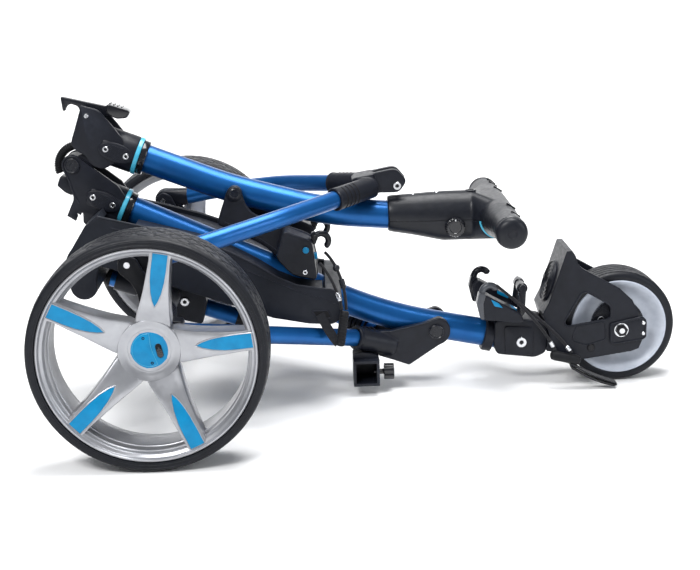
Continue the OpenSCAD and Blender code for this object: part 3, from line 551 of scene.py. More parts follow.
# raised ridge round each lug
for s in (1, -1):
    ridge = [(x, s * 24.2, z) for x, z in arc(A, 13.0, 30, 205, 16) + [(-133.5, 172), (-128.4, 151), (-122, 140)]]
    p.tube(ridge, 1.0, CAST, 8)
p.done()
p = Part("lower_knurled_pads", "main_frame", ["lower_pads"], "black_casting")
for s in (1, -1):
    knurl(p, (-88, 142), -24.97, 28.6, s, CAST)
p.done()
cyan_ring("lower_cyan_ring", "main_frame", "lower_ring", LR, MU)
p = Part("hinge_pin_caps", "main_frame", ["hinge_pin"], "dark_steel")
p.lathe([(0, -25.5), (5, -25.5), (5, 25.5), (0, 25.5)], yaxis(A), DARK, 40)
for s in (1, -1):
    p.lathe([(0, s * 24.1), (10.4, s * 24.1), (10.8, s * 25.4), (10.5, s * 26.8), (9.4, s * 27.2), (8.6, s * 26.9), (8.2, s * 26.1),
             (3.6, s * 26.1), (3.2, s * 26.5), (0, s * 26.6)], yaxis(A), SATIN, 48)
p.done()
upper = [(-111, 279), (-86, 272), (-66, 246), (-52, 226), (-62, 198), (-85, 187), (-101, 194), (-109, 209), (-121, 214), (-128, 226), (-111.5, 273)]
p = Part("upper_bracket_shell", "handle", ["upper_hinge_bracket"], "black_casting")
cheek = rounded(upper, 7, 5)
p.prism(cheek, 18, 25, CAST, 1.8, 3, both=True)
sleeve(p, UR, HU, CAST)
p.lathe([(0, -17), (13.4, -17), (14, -16.2), (14, 16.2), (13.4, 17), (0, 17)], yaxis(A), CAST, 48)
p.prism([(-122, 206.5), (-88, 218), (-86, 194), (-104, 187), (-119, 184)], -17, 17, CAST, 1.5)
p.prism([(-95, 250), (-88, 253), (-64, 232), (-70, 226), (-95, 240)], -19, 19, CAST, 1.5)
for s in (1, -1):
    p.lathe([(0, s * 24.8), (3.1, s * 24.8), (3.1, s * 25.6), (2.5, s * 26.0), (0, s * 26.0)], yaxis(K), STEEL, 32)
p.done()
p = Part("upper_knurled_pads", "handle", ["upper_pads"], "black_casting")
for s in (1, -1):
    knurl(p, (-65, 211), -21.8, 28.6, s, CAST)
p.done()
cyan_ring("upper_cyan_ring", "handle", "upper_ring", UR, HU)

p = Part("frame_fasteners", "main_frame", ["frame_screws"], "steel")
for s in (1, -1):
    for k in (-15, 15):
        bolt(p, along((-88, 142), MU, k), 27.0, 30.0, 4.4, 2.1, side=s)
    bolt(p, (511, -87), 32.6, 36.2, 7.5, 3.2, side=s)
    # this screw's socket takes the recess colour: painted shade
    bolt(p, (197, 40), 73, 77.8, 3.6, 1.6, core=RECESS_SHADE, side=s)
p.done()
p = Part("handle_fasteners", "handle", ["handle_screws"], "steel")
for s in (1, -1):
    for k in (-15, 15):
        bolt(p, along((-65, 211), HU, k), 27.0, 30.0, 4.4, 2.1, side=s)
for x, zt in ((357, 134.0), (391, 136.4)):
    p.lathe([(0, zt - 6), (4.2, zt - 6), (4.4, zt - 0.6), (3.6, zt), (2.2, zt), (2.0, zt - 1.6), (0, zt - 1.6)],
            Matrix.Translation((x, 0, 0)), STEEL, 28)
p.done()

# corrugated cable conduit between the two brackets
ring_c = (-121.75, 190)
pts, rad = [], []
steps = 22 * 6
for i in range(steps + 1):
    a = math.radians(82 + 116 * i / steps)
    pts.append((ring_c[0] + 30 * math.cos(a), 0, ring_c[1] + 30 * math.sin(a)))
    ph = (i % 6) / 6
    rad.append(6.25 if ph < 0.55 else 4.9)
conduit = Part("cable_conduit_ribbed", "main_frame", ["cable_conduit"], "rubber").tube(pts, rad, RUBBER, 24).done(ride=False, angle=50)
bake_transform(conduit)

# latch: hooked plate with a curved thumb tab
p = Part("latch_plate", "latch", ["latch_lever"], "grip")
lp = rounded([(-141, 290), (-139, 269.5), (-135.5, 269.5), (-133, 276), (-127, 279.5), (-117, 275.5), (-112, 259), (-95, 257), (-78, 262),
              (-63, 258), (-50, 258.5), (-46, 266), (-50, 270), (-74, 278), (-78, 274.5)], 3, 4)
p.prism(lp, -5, 5, SATIN, 1.2, 3)
p.prism(rounded([(-75, 264), (-63, 257), (-48, 257.4), (-42.6, 266), (-48, 270.5), (-74, 279), (-77, 272)], 4, 5), -15, 15, GLOSS, 2.2, 4)
for k in range(4):
    p.tube([(-71 + 5.5 * k, -11, 279.2 - 2.0 * k), (-71 + 5.5 * k, 11, 279.2 - 2.0 * k)], 0.9, GLOSS, 10)
p.lathe([(2.6, -17), (6, -17), (6, 17), (2.6, 17)], yaxis(K), SATIN, 32, closed=True)
p.done()

# ------------------------------------------------------------------ battery housing
house_top = [(-88, 133), (-17, 114.5), (40, 98), (72, 86), (98, 73.5), (128, 57), (157, 38), (185, 25.5), (225, 18.5)]
house = house_top + arc((229, -1), 19, 80, 0, 8) + arc((229, -15), 19, 0, -85, 8) + \
    [(200, -32), (150, -22), (76, 5), (-60, 53), (-90, 62), (-95, 44)] + arc((-113, 33), 19, -20, -170, 14) + arc((-97, 60), 40, -200, -222, 4) + [(-106, 119)]
inside = [(-84, 124), (-17, 106), (40, 90), (72, 78), (98, 65), (128, 48), (157, 29.5), (185, 17), (222, 11), (240, 0), (243, -10), (240, -22),
          (230, -29), (200, -27), (150, -17), (76, 9.5), (-60, 57.5), (-88, 66.5), (-94, 68), (-99, 48), (-103, 26), (-112, 19), (-124, 22),
          (-130, 34), (-132, 58), (-121, 84), (-103, 114)]
p = Part("battery_housing_shell", "main_frame", ["battery_housing"], "black_satin")
p.prism(house, -90, -86, HOUSE, 1.5, 3)
p.prism(house, 86, 90, HOUSE, 1.5, 3)
band = house[8:] + [house[0]] + [inside[0]] + inside[:7:-1]
p.prism(band, -87, 87, HOUSE, 0)
# moulded lip along the top edge, a long pressed line and the strap slot
for s in (-1, 1):
    p.tube([(x, s * 89.6, z - 0.6) for x, z in house_top], 1.5, HOUSE, 10)
    line = bez((-70, s * 90, 116), (40, s * 90, 86), (110, s * 90, 52), (176, s * 90, 21), 24) + bez((176, s * 90, 21), (200, s * 90, 10), (222, s * 90, 6), (238, s * 90, -4), 10)
    p.tube(line, 0.8, HOUSE, 8)
slot = rounded([(205, -13), (228, -13), (232, -24), (212, -26)], 2.5, 4)
# the slot's inside is a near-black insert: painted shade in the recess
p.prism(slot, -90.5, -88, RECESS_SHADE, 0.3)
p.tube([(x, -90.2, z) for x, z in slot + [slot[0]]], 1.1, HOUSE, 8)
p.done()
dress("battery_deck", HOUSE)
dress("battery_pack", SATIN)

# ------------------------------------------------------------------ rear cradle
cheek_pts = spline([(111, 148), (107, 157.5), (98, 160), (89.6, 153.5), (84, 138), (77, 118), (75, 104), (94, 97), (112, 86), (136, 73), (160, 52),
                    (178, 34), (214, 25), (211, 60), (208, 84), (168, 101.5), (147, 111), (128, 118), (116, 132)], 4)
p = Part("upper_cradle_shell", "main_frame", ["upper_cradle"], "black_casting")
p.prism(cheek_pts, 31, 37, CAST, 0, both=True)
p.prism(rounded([(156, 62), (168, 101), (208, 84), (211, 60), (214, 27), (178, 36)], 7, 4), 34, 75, CAST, 0, both=True)
p.prism([(150, 58), (152, 66), (178, 62), (211, 52), (214, 27), (178, 36)], -34, 34, CAST, 0)
for s in (1, -1):
    p.lathe([(0, s * 22.5), (9.4, s * 22.5), (10.6, s * 24), (10.8, s * 38), (9.6, s * 40), (0, s * 40)], yaxis((100, 149)), CAST, 48)
p.done(organic=(1.5, 5))
p = Part("upper_cradle_trim", "main_frame", [], "black_casting")
for s in (1, -1):
    p.lathe([(0, s * 39.6), (7.2, s * 39.6), (7.4, s * 40.6), (6.2, s * 41.2), (5.4, s * 40.6), (0, s * 40.6)], yaxis((100, 149)), SATIN, 40)
    p.prism(rounded([(170, 99), (206, 83.5), (207, 79), (169, 94.5)], 1.5, 3), s * 40, s * 74, SATIN, 1.0, 2)
    bar = [(x, s * 37.3, z) for x, z in ((84, 108), (112, 94), (136, 80), (158, 63))]
    p.tube(bar, 1.4, CAST, 8)
p.done()


def cloop(part, c, y, a0, a1, R, r, mat, s=1):
    q = [(c[0] + R * math.cos(math.radians(a0 + a1 * i / 28)), s * y, c[1] + R * math.sin(math.radians(a0 + a1 * i / 28))) for i in range(29)]
    n = len(q)
    rr = [r * (0.45 if i in (0, n - 1) else 0.85 if i in (1, n - 2) else 1) for i in range(n)]
    part.tube(q, rr, mat, 20)


p = Part("upper_clip_loops", "main_frame", ["upper_cradle_clips"], "black_satin")
for s in (1, -1):
    cloop(p, (221, 79), 48, -60, 215, 10.5, 4.5, SATIN, s)
    p.prism(rounded([(206, 90), (212, 93), (216, 88), (214, 76), (209.5, 74)], 2, 3), s * 43.5, s * 52.5, SATIN, 1.2, 3)
    p.lathe([(0, s * 41), (4, s * 41), (4.4, s * 42), (4.4, s * 55), (3.6, s * 56), (0, s * 56)], yaxis((212, 84)), DARK, 24)
p.done()
p = Part("cradle_cyan_plugs", "main_frame", ["cradle_inserts"], "cyan_trim")
for s in (1, -1):
    p.lathe([(0, 0), (5, 0), (5, 4.8), (4.2, 5.6), (2.2, 5.6), (1.8, 5.0), (0, 5.0)], frame_at((209.5, s * 60, 60), (1, 0, 0.06)), CYAN, 32)
    p.lathe([(0, 0), (4.4, 0), (4.4, 3), (3.8, 3.8), (0, 3.8)], frame_at((199, s * 75.2, 72), (0, s, 0)), CYAN, 32)
    p.prism(rounded([(484, -24.5), (502, -33.5), (501, -38), (484, -30)], 1.2, 3), s * 33, s * 49, CYAN, 0.8)
    p.prism(rounded([(463, -14), (474, -20), (480, -27), (468, -24)], 1.2, 3), s * 54, s * 59.2, CYAN, 0.6)
p.done()

# ------------------------------------------------------------------ front bracket, cradle
p = Part("front_bracket_shell", "main_frame", ["front_bracket"], "black_casting")
fb = rounded([(472, -54), (505, -51.5), (545, -57.5), (552, -72), (548, -106), (532, -113), (476, -106), (471, -96)], 6, 4)
p.prism(fb, -30, 30, CAST, 3.0, 4)
p.prism(rounded([(486, -62), (530, -66), (528, -108), (488, -106)], 6, 4), 29.5, 32.5, CAST, 1.0, 2, both=True)
p.lathe([(20.6, 0), (25, 0), (26.5, 1.5), (27, 4), (27, 14), (20.6, 14)], xz((458, -79), (math.cos(math.radians(-11.8)), math.sin(math.radians(-11.8)))), CAST, 64)
p.done()
p = Part("front_cradle_shell", "main_frame", ["front_cradle"], "black_casting")
p.prism([(456, -52), (462, -36), (500, -44), (512, -51.5), (505, -51.5), (472, -53.5)], -35, 35, CAST, 0)
p.prism(rounded([(452, -44), (446, -18), (455, -7), (474, -18), (507, -37), (512, -50), (500, -51)], 5, 4), 33, 57, CAST, 0, both=True)
p.done(organic=(1.2, 5))
p = Part("front_clip_loops", "main_frame", ["front_cradle_clips"], "black_satin")
for s in (1, -1):
    # the near clip (s < 0) takes the lighter grey copy while the far one stays black satin: painted light
    cloop(p, (462, -6), 50, 20, 200, 11, 5, NEAR_LIT_SATIN if s < 0 else SATIN, s)
    p.prism(rounded([(446, -4), (442.5, -20), (448, -43), (453.5, -44.5), (452, -20), (456, -7)], 2, 3), s * 43, s * 58.5, NEAR_LIT_SATIN if s < 0 else SATIN, 1.6, 3)
    p.prism(rounded([(505, -43.5), (509, -5), (514, -1), (519, -5), (517, -45), (511.6, -50.4)], 2, 3), s * 22.1, s * 28, SATIN, 1.2, 2)
p.lathe([(0, -22), (6, -22), (8, -20), (8, -8), (6.6, -6), (6.6, 6), (8, 8), (8, 20), (6, 22), (0, 22)], yaxis((514, -9)), SATIN, 40)
p.done()

# ------------------------------------------------------------------ fork
soften("fork", CAST, 1.1, 3)
p = Part("fork_trim", "main_frame", [], "black_casting")
Mn = frame_at((558.6, 0, -4.2), (-math.sin(math.radians(71.6)), 0, math.cos(math.radians(71.6))))
for r in (30, 24, 18, 12, 6):
    p.lathe([(r - 1.3, 3.2), (r - 0.9, 4.9), (r, 5.3), (r + 0.9, 4.9), (r + 1.3, 3.2)], Mn, CAST, 72, closed=True)
p.prism([(-3, 21), (3, 21), (3, 31.5), (-3, 31.5)], 3.0, 5.6, CAST, 0.6, M=Mn)
panel = rounded([(590, -63), (632, -57), (634, -84), (604, -92), (584, -84)], 5, 4)
for s in (1, -1):
    p.tube([(x, s * 43.2, z) for x, z in panel + [panel[0]]], 0.9, CAST, 8)
    win = rounded([(597, -13), (604, -11), (636, -30), (641, -36), (641, -51), (636, -54), (578, -63), (573, -60), (573, -54)], 5, 4)
    p.tube([(x, s * 42.9, z) for x, z in win + [win[0]]], 1.3, CAST, 8)
    p.lathe([(0, s * 43), (5, s * 43), (5.4, s * 44), (4.6, s * 45.4), (0, s * 45.6)], yaxis((612, -96)), DARK, 32)
p.done()
p = Part("axle_adjuster_plates", "main_frame", ["axle_adjusters"], "black_casting")
adj = rounded([(639, -60), (686, -50), (693, -56), (693, -82), (688, -86), (643, -92), (639, -88)], 4, 4)
p.prism(adj, 43.1, 46.8, CAST, 1.2, 3, both=True)
for s in (1, -1):
    p.tube([(666 + (x - 666) * 0.93, s * 46.9, -71 + (z + 71) * 0.9) for x, z in adj + [adj[0]]], 1.1, CAST, 8)
p.done()
p = Part("front_axle_hardware", "main_frame", ["front_axle"], "steel")
p.lathe([(0, -49.5), (5, -49.5), (5, 49.5), (0, 49.5)], yaxis(F), STEEL, 32)
for s in (1, -1):
    p.lathe([(0, s * 46.9), (10.4, s * 46.9), (10.4, s * 48.2), (0, s * 48.2)], yaxis(F), STEEL, 40)
    hexo = [(F[0] + 9 * math.cos(math.radians(60 * k + 8)), F[1] + 9 * math.sin(math.radians(60 * k + 8))) for k in range(6)]
    p.prism(hexo, s * 48.2, s * 53, DARK, 0.7, 2)
    p.lathe([(0, s * 52.6), (4.2, s * 52.6), (4.0, s * 53.4), (0, s * 53.5)], yaxis(F), STEEL, 24)
    for z in (-60, -76):
        p.lathe([(0, s * 46), (3.2, s * 46), (3.2, s * 47.4), (2.2, s * 48.8), (0, s * 49)], yaxis((688, z)), STEEL, 24)
p.done()

# ------------------------------------------------------------------ front wheel
p = Part("front_tyre_ribbed", "front_wheel", ["front_tyre"], "tyre")
fr = 83.0
prof = [(70.05, -29), (73, -30), (76, -30), (79, -29.2), (80.8, -27.6), (82.0, -24.6)]
for c in (-19.2, -9.6, 0, 9.6, 19.2):
    prof += [(81.0, c - 4.5), (82.5, c - 4.0), (fr - 0.1 - abs(c) * 0.018, c - 2.6), (fr - abs(c) * 0.018, c), (fr - 0.1 - abs(c) * 0.018, c + 2.6),
             (82.5, c + 4.0), (81.0, c + 4.5)]
prof += [(82.0, 24.6), (80.8, 27.6), (79, 29.2), (76, 30), (73, 30), (70.05, 29)]
p.lathe(prof, yaxis(F), TYRE, 160, closed=True).done(angle=40)
p = Part("front_rim_dish", "front_wheel", ["front_rim"], "front_rim")
p.lathe([(5.2, -33), (12, -33), (13, -32), (14, -27.5), (20, -24.5), (30, -19), (44, -15.2), (52, -17), (58, -22), (63, -27), (66, -29), (68, -29.8), (70, -29.4),
         (70, 29.4), (68, 29.8), (66, 29), (63, 27), (58, 22), (52, 17), (44, 15.2), (30, 19), (20, 24.5), (14, 27.5), (13, 32), (12, 33), (5.2, 33)],
        yaxis(F), FRIM, 128, closed=True)
for s in (1, -1):
    p.lathe([(66.2, s * 28.4), (67.6, s * 30.0), (69, s * 30.2), (70, s * 29.4)], yaxis(F), FRIM, 128, closed=True)
p.done()
p = Part("front_hub_cover", "front_wheel", [], "black_satin")
for s in (1, -1):
    p.lathe([(5.3, s * 34), (12.4, s * 34), (14, s * 33), (16, s * 29), (24, s * 26.6), (34, s * 24.6), (38, s * 23.4), (39.4, s * 21.8), (39.6, s * 17), (5.3, s * 17)],
            yaxis(F), SATIN, 96, closed=True)
    for k in range(5):
        a = math.radians(72 * k + 20)
        c = (F[0] + 27.4 * math.cos(a), F[1] + 27.4 * math.sin(a))
        o1 = oval(c, 7.6, 4.4, math.degrees(a) + 90, 28)
        # dark inserts in the five recesses: painted shade
        p.prism(oval(c, 6.8, 3.6, math.degrees(a) + 90, 28), s * 24, s * 26.6, RECESS_SHADE, 0)
        p.tube([(x, s * (26.2 - 0.2 * (math.hypot(x - F[0], z - F[1]) - 27.4)), z) for x, z in o1 + [o1[0]]], 0.95, STEEL, 10)
p.done()


# ------------------------------------------------------------------ elastic cords, their handles and the pull tab
def cord_piece(name, node_list, pts, r, far):
    o = Part(name, "main_frame", node_list, "rubber").tube(pts, r, CORD, 14).done()
    return o


rear_a = bez((226, -58, 64), (243, -74, 50), (254, -88, 20), (253, -94.5, -12), 26)
rear_b = bez((218, -74, 52), (232, -92, 40), (244, -101, 12), (247, -101, -9.5), 26)
front_a = bez((470, -62, 8), (500, -66, -16), (535, -66, -50), (556, -62, -92), 26)
front_b = bez((494, -50, -14), (520, -56, -34), (560, -62, -66), (580, -62, -97), 26)

p = Part("rear_cord_fittings", "main_frame", ["rear_bungee_handle"], "rubber")
h0, h1 = Vector((251, -98, -12.5)), Vector((243, -106, -62))
d = (h1 - h0).normalized()
Mh = frame_at(tuple(h0), tuple(d))
L = (h1 - h0).length
prof = [(0, 0), (4.4, 0.2), (6.0, 1.6)]
for k in range(9):
    z = 6 + k * 4.6
    prof += [(6.5, z - 1.6), (6.6, z), (6.5, z + 1.6), (5.9, z + 2.3)]
prof += [(6.4, L - 4), (5.4, L - 1.2), (3, L - 0.2), (0, L)]
p.lathe(prof, Mh, RUBBER, 32)
rear_fit = p.done()
p = Part("rear_cord_clip", "main_frame", [], "black_satin")
mid = rear_a[9]
p.lathe([(0, -5), (2.9, -4.4), (4.7, -2.4), (5.2, 0), (4.7, 2.4), (2.9, 4.4), (0, 5)], Matrix.Translation(mid), SATIN, 24)
q = rear_a[16]
dd = (rear_a[17] - rear_a[15]).normalized()
p.lathe([(0, -7), (3.4, -7), (4.2, -6), (4.2, 5), (3.4, 6.4), (0, 6.4)], frame_at(tuple(q), tuple(dd)), SATIN, 24)
q = rear_b[19]
dd = (rear_b[20] - rear_b[18]).normalized()
p.lathe([(0, -6), (3.2, -6), (3.6, -5), (3.6, 5), (3.2, 6), (0, 6)], frame_at(tuple(q), tuple(dd)), STEEL, 24)
rear_clip = p.done()
cord_piece("rear_cord_outer", ["rear_bungee_cords"], rear_a, 2.2, "fitting")
cord_piece("rear_cord_inner", [], rear_b, 2.2, "fitting")
p = Part("front_cord_fittings", "main_frame", ["front_bungee_handle"], "rubber")
p.tube([(549, -62, -99.2), (551, -62, -99.4), (556, -62, -100.5), (571, -62, -104.3), (586, -62, -108), (591, -62, -109.3), (593, -62, -109.8)],
       [3.2, 6.2, 7.4, 7.0, 7.4, 6.2, 3.2], RUBBER, 28)
for pp in (front_a, front_b):
    q, dd = pp[24], (pp[25] - pp[23]).normalized()
    p.lathe([(0, -4.6), (3.0, -4.6), (3.4, -4), (3.4, 4), (3.0, 4.6), (0, 4.6)], frame_at(tuple(q), tuple(dd)), STEEL, 24)
front_fit = p.done()
cord_piece("front_cord_outer", ["front_bungee_cords"], front_a, 2.2, "fitting")
cord_piece("front_cord_inner", [], front_b, 2.2, "fitting")


def strap(part, pts, w, t, mat, M=None, wvec=(0, 1, 0)):
    P = [Vector(q) for q in pts]
    wv = Vector(wvec).normalized()
    v, f = [], []
    sec = [(-w / 2, -t / 2), (-w / 4, -t * 0.56), (w / 4, -t * 0.56), (w / 2, -t / 2), (w / 2, t / 2), (w / 4, t * 0.56), (-w / 4, t * 0.56), (-w / 2, t / 2)]
    for i, q in enumerate(P):
        tt = (P[min(i + 1, len(P) - 1)] - P[max(i - 1, 0)]).normalized()
        a = (wv - tt * wv.dot(tt)).normalized()
        b = tt.cross(a)
        v += [tuple(q + a * x + b * y) for x, y in sec]
    n = 8
    for i in range(len(P) - 1):
        f += [[i * n + k, i * n + (k + 1) % n, (i + 1) * n + (k + 1) % n, (i + 1) * n + k] for k in range(n)]
    f += [list(range(n)), list(range((len(P) - 1) * n, len(P) * n))]
    part.raw(v, f, mat)


p = Part("webbing_pull_tab", "main_frame", ["pull_tab"], "webbing")
top = bez((577, -60, -113.5), (588, -60, -117), (603, -60, -131), (642, -60, -143.6), 16)
bot = bez((580, -60, -119.5), (592, -60, -126), (606, -60, -139), (640, -60, -147.6), 16)
strap(p, top, 16, 1.7, WEB)
strap(p, bot, 16, 1.7, WEB)
loop = [(642, -60, -143.6), (645.4, -60, -144.6), (645.6, -60, -146.8), (643, -60, -148), (640, -60, -147.6)]
strap(p, loop, 16, 1.7, WEB)
for k in range(7):
    for yy in (-66, -54):
        a = Vector((612 + 3.4 * k, yy, -134.4 - 1.25 * k))
        p.tube([tuple(a), tuple(a + Vector((2.2, 0, -0.8)))], 0.35, CORD, 6)
p.done()
p = Part("housing_pull_strap", "main_frame", [], "webbing")
strap(p, bez((216, -91.2, -18), (224, -94, -34), (232, -99, -50), (241, -105, -58), 14), 13, 1.6, WEB, wvec=(1, 0.1, 0.35))
p.done()

# ------------------------------------------------------------------ grip
def gring(x, z, a, b, n=36):
    return [(x, a * math.sin(t), z + b * math.cos(t)) for t in (2 * math.pi * i / n for i in range(n))]


def ydisc(c, y0, y1, r, n=36):
    return [(c[0] + r * math.cos(t), y, c[1] + r * math.sin(t)) for y in (y0, y1) for t in (2 * math.pi * i / n for i in range(n))]


g = Part("grip_blank", "handle")
g.hull(gring(319, 106, 25.5, 25.5) + gring(326, 105.6, 26.5, 27) + gring(352, 104, 27, 30), GRIP)
g.hull(gring(352, 104, 27, 30) + gring(400, 100, 29, 36.6) + gring(440, 100, 29, 36.6), GRIP)
g.hull(gring(440, 100, 29, 36.6) + ydisc((476, 99), -44, 44, 26.6), GRIP)
g.hull(ydisc((476, 102), -60, 60, 26.2) + ydisc((477, 104.5), -110, 110, 21.4), GRIP)
g.hull(ydisc((478, 105), -152, 152, 21.6), GRIP)
blank = g.done(organic=(1.7, 9), ride=False)


def cut_half(src, name, z, up, rep):
    b = bmesh.new()
    b.from_mesh(src.data)
    co, no = row((0, 0, z)), Vector((0, 0, 1))
    r = bmesh.ops.bisect_plane(b, geom=b.verts[:] + b.edges[:] + b.faces[:], plane_co=co, plane_no=no, clear_outer=not up, clear_inner=up)
    bmesh.ops.holes_fill(b, edges=[e for e in b.edges if e.is_boundary], sides=0)
    smooth_by_angle(b, 50)
    me = bpy.data.meshes.new(name)
    b.to_mesh(me)
    b.free()
    me.materials.append(GRIP)
    for q in me.polygons:
        q.material_index = 0
    o = bpy.data.objects.new(name, me)
    bpy.context.scene.collection.objects.link(o)
    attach(o, "handle")
    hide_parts(*rep)
    return o


grip_up = cut_half(blank, "grip_top_shell", 98.5, True, ["grip_upper_shell"])
grip_lo = cut_half(blank, "grip_bottom_shell", 97.7, False, ["grip_lower_shell"])
bpy.data.objects.remove(blank)
p = Part("grip_seam_core", "handle", [], "grip")
# a dark core that shows in the gap between the two shells: painted shade in the seam
p.hull([(x, y * 0.985, z) for x, y, z in ydisc((476, 100.5), -58, 58, 24.6)], RECESS_SHADE)
p.hull([(x, y, 98 + (1 if i % 2 else -1) * 0.8) for i, (x, y, z) in enumerate(gring(330, 98, 25.6, 3) + gring(398, 98, 28.0, 3) + gring(440, 98, 28.0, 3))], RECESS_SHADE)
p.hull(ydisc((478, 104.8), -150, 150, 20.7), RECESS_SHADE)
# vents let into the cross bar as dark patches of painted shade, a bezel round the accessory hole with painted shade
# inside it, and the accent beside the knob
for y, x in ((140, 487), (118, 487), (70, 492), (-66, 492), (-118, 487)):
    R0 = 21.4 + 4.8 * max(0, 1 - abs(y) / 112.0) ** 0.8
    for t in (58,):
        a = math.radians(t)
        c = (478 + R0 * math.cos(a), y, 105 - 2.4 * max(0, 1 - abs(y) / 112.0) + R0 * math.sin(a))
        M = frame_at(c, (math.cos(a), 0, math.sin(a)))
        sl = [(2.0 * math.cos(u) + 0.0, 5.5 * (1 if math.sin(u) > 0 else -1) + 2.0 * math.sin(u)) for u in (2 * math.pi * i / 20 + 0.01 for i in range(20))]
        sl = [(b_, a_) for a_, b_ in sl]
        p.prism(sl, -1.5, 0.7, RECESS_SHADE, 0.2, M=M)
p.lathe([(4.0, 134.6), (7.6, 134.6), (8.4, 136.0), (8.0, 137.2), (6.6, 137.5), (4.6, 137.2), (4.0, 136.2)], Matrix.Translation((441, 0, 0)), SATIN, 40, closed=True)
p.lathe([(0, 133), (4.0, 133), (4.0, 135.6), (0, 135.6)], Matrix.Translation((441, 0, 0)), RECESS_SHADE, 32)
p.tube([(476 + 26.9 * math.cos(math.radians(t)), -47 - 0.06 * (t - 186), 102 + 26.9 * math.sin(math.radians(t))) for t in range(186, 256, 4)], 1.7, CYRING, 10)
p.done()
p = Part("bar_end_covers", "handle", ["bar_end_caps"], "grip")
for s in (1, -1):
    p.lathe([(0, s * 149.9), (21.0, s * 149.9), (21.6, s * 151.4), (22, s * 153), (22, s * 159), (21.4, s * 161.6), (20.2, s * 164), (17, s * 166.4), (12, s * 167.7),
             (6, s * 168), (5.4, s * 167.4), (0, s * 167.4)], yaxis((478, 105)), GRIP, 72)
    p.lathe([(21.9, s * 154.6), (22.35, s * 155.2), (21.9, s * 155.8)], yaxis((478, 105)), GLOSS, 72, closed=True)
p.done()
p = Part("speed_dial", "knob", ["speed_knob"], "grip")
nk = 96
v, f = [], []
hs = [(-20.3, 14.2), (-21.5, 15.2), (-24, 15.2), (-25, 14.4), (-34, 14.2), (-36, 13.4), (-37, 11.8), (-37, 9.0), (-36.2, 8.2), (-36.2, 0.01)]
for y, r in hs:
    for k in range(nk):
        a = 2 * math.pi * k / nk
        rr = r + (0.55 * math.cos(24 * a) if -36.5 < y < -24.5 and r > 12 else 0)
        v.append((S[0] + rr * math.cos(a), y, S[1] + rr * math.sin(a)))
for i in range(len(hs) - 1):
    f += [[i * nk + k, i * nk + (k + 1) % nk, (i + 1) * nk + (k + 1) % nk, (i + 1) * nk + k] for k in range(nk)]
f.append(list(range(nk)))
f.append(list(range((len(hs) - 1) * nk, len(hs) * nk)))
p.raw(v, f, GLOSS)
p.prism([(S[0] - 0.8, S[1] + 9.4), (S[0] + 0.8, S[1] + 9.4), (S[0] + 0.8, S[1] + 12.6), (S[0] - 0.8, S[1] + 12.6)], -37.3, -36.4, STEEL, 0.2)
p.done()

# ------------------------------------------------------------------ legs, axle, spur
p = Part("leg_bracket_shell", "leg_frame", ["leg_bracket"], "black_casting")
cl = [(300, -100), (318, -106), (345, -116)] + arc(P, 21, -75, 80, 16) + [(366, -53), (318, -63), (300, -62)]
for s in (1, -1):
    p.prism(cl, s * 23, s * 35.6, CAST, 0)
    p.tube([(322, s * 25, -87), (268, s * 43.6, -68.7)], [16.6, 16.6], CAST, 40)
p.prism([(300, -99), (318, -106), (345, -116), (352, -110), (336, -98), (312, -96)], -24, 24, CAST, 0)
p.done(organic=(1.4, 5))
p = Part("leg_pin_caps", "main_frame", ["leg_pin"], "dark_steel")
p.lathe([(0, -36), (6, -36), (6, 36), (0, 36)], yaxis(P), DARK, 40)
for s in (1, -1):
    p.lathe([(0, s * 36.1), (10.6, s * 36.1), (11, s * 37), (10.7, s * 38.8), (9.6, s * 39.4), (8.8, s * 38.8), (8.6, s * 37.9), (0, s * 37.9)], yaxis(P), SATIN, 48)
p.done()
p = Part("leg_sleeve_trim", "leg_frame", [], "black_casting")
for s in (1, -1):
    d = (Vector((24, s * 208.1, -2.9)) - Vector((300, s * 22, -77.2))).normalized()
    c = Vector((268, s * 43.6, -68.7))
    M = frame_at(tuple(c), tuple(d))
    p.lathe([(12.6, -3), (17.2, -3), (17.6, -1.6), (17.6, 1.6), (16.6, 3), (12.6, 3)], M, CAST, 48)
    for k in range(3):
        cc = c - d * (9 + 8 * k)
        p.lathe([(16.0, -1.2), (17.3, -0.7), (17.3, 0.7), (16.0, 1.2)], frame_at(tuple(cc), tuple(d)), CAST, 48)
p.done()
p = Part("axle_cross_tube", "leg_frame", ["axle_tube"], "steel")
p.lathe([(6, -124), (13.6, -124), (14, -123), (14, 123), (13.6, 124), (6, 124)], yaxis((0, 0)), ALU, 64, closed=True).done()
p = Part("motor_housing_shells", "leg_frame", ["motor_housings"], "black_casting")
post = rounded([(-13, 12), (-17, 58), (-24, 74), (-41, 90), (-40, 104), (-28, 112), (-16, 106), (-10, 92), (4, 72), (13, 12)], 5, 4)
foot = rounded([(-12, -17), (36, -18), (36, 14), (8, 17), (-12, 16)], 5, 4)
for s in (1, -1):
    prof = [(6.2, s * 110), (14.5, s * 110), (17, s * 111), (18, s * 114)]
    for k in range(8):
        y = 124 + 9 * k
        prof += [(18, s * (y - 2.4)), (17.5, s * (y - 1.8)), (17.1, s * y), (17.5, s * (y + 1.8)), (18, s * (y + 2.4))]
    prof += [(18, s * 246), (17, s * 248.6), (15, s * 250), (6.2, s * 250)]
    p.lathe(prof, yaxis((0, 0)), CAST, 80, closed=True)
    p.prism(post, s * 196, s * 202, CAST, 1.4, 3)
    p.prism(post, s * 240, s * 246, CAST, 1.4, 3)
    p.prism(foot, s * 196, s * 222, CAST, 2.0, 3)
    bolt(p, (27, -9), 222, 225, 4.2, 2.0, side=s)
p.done()
dress("rear_axle", STEEL)
sp0, sp1 = Vector((-92, 0, 24.65)), Vector((96, 0, -43.8))
sd = (sp1 - sp0).normalized()
p = Part("spur_tube_skin", "leg_frame", ["spur_tube"], "blue_tube")
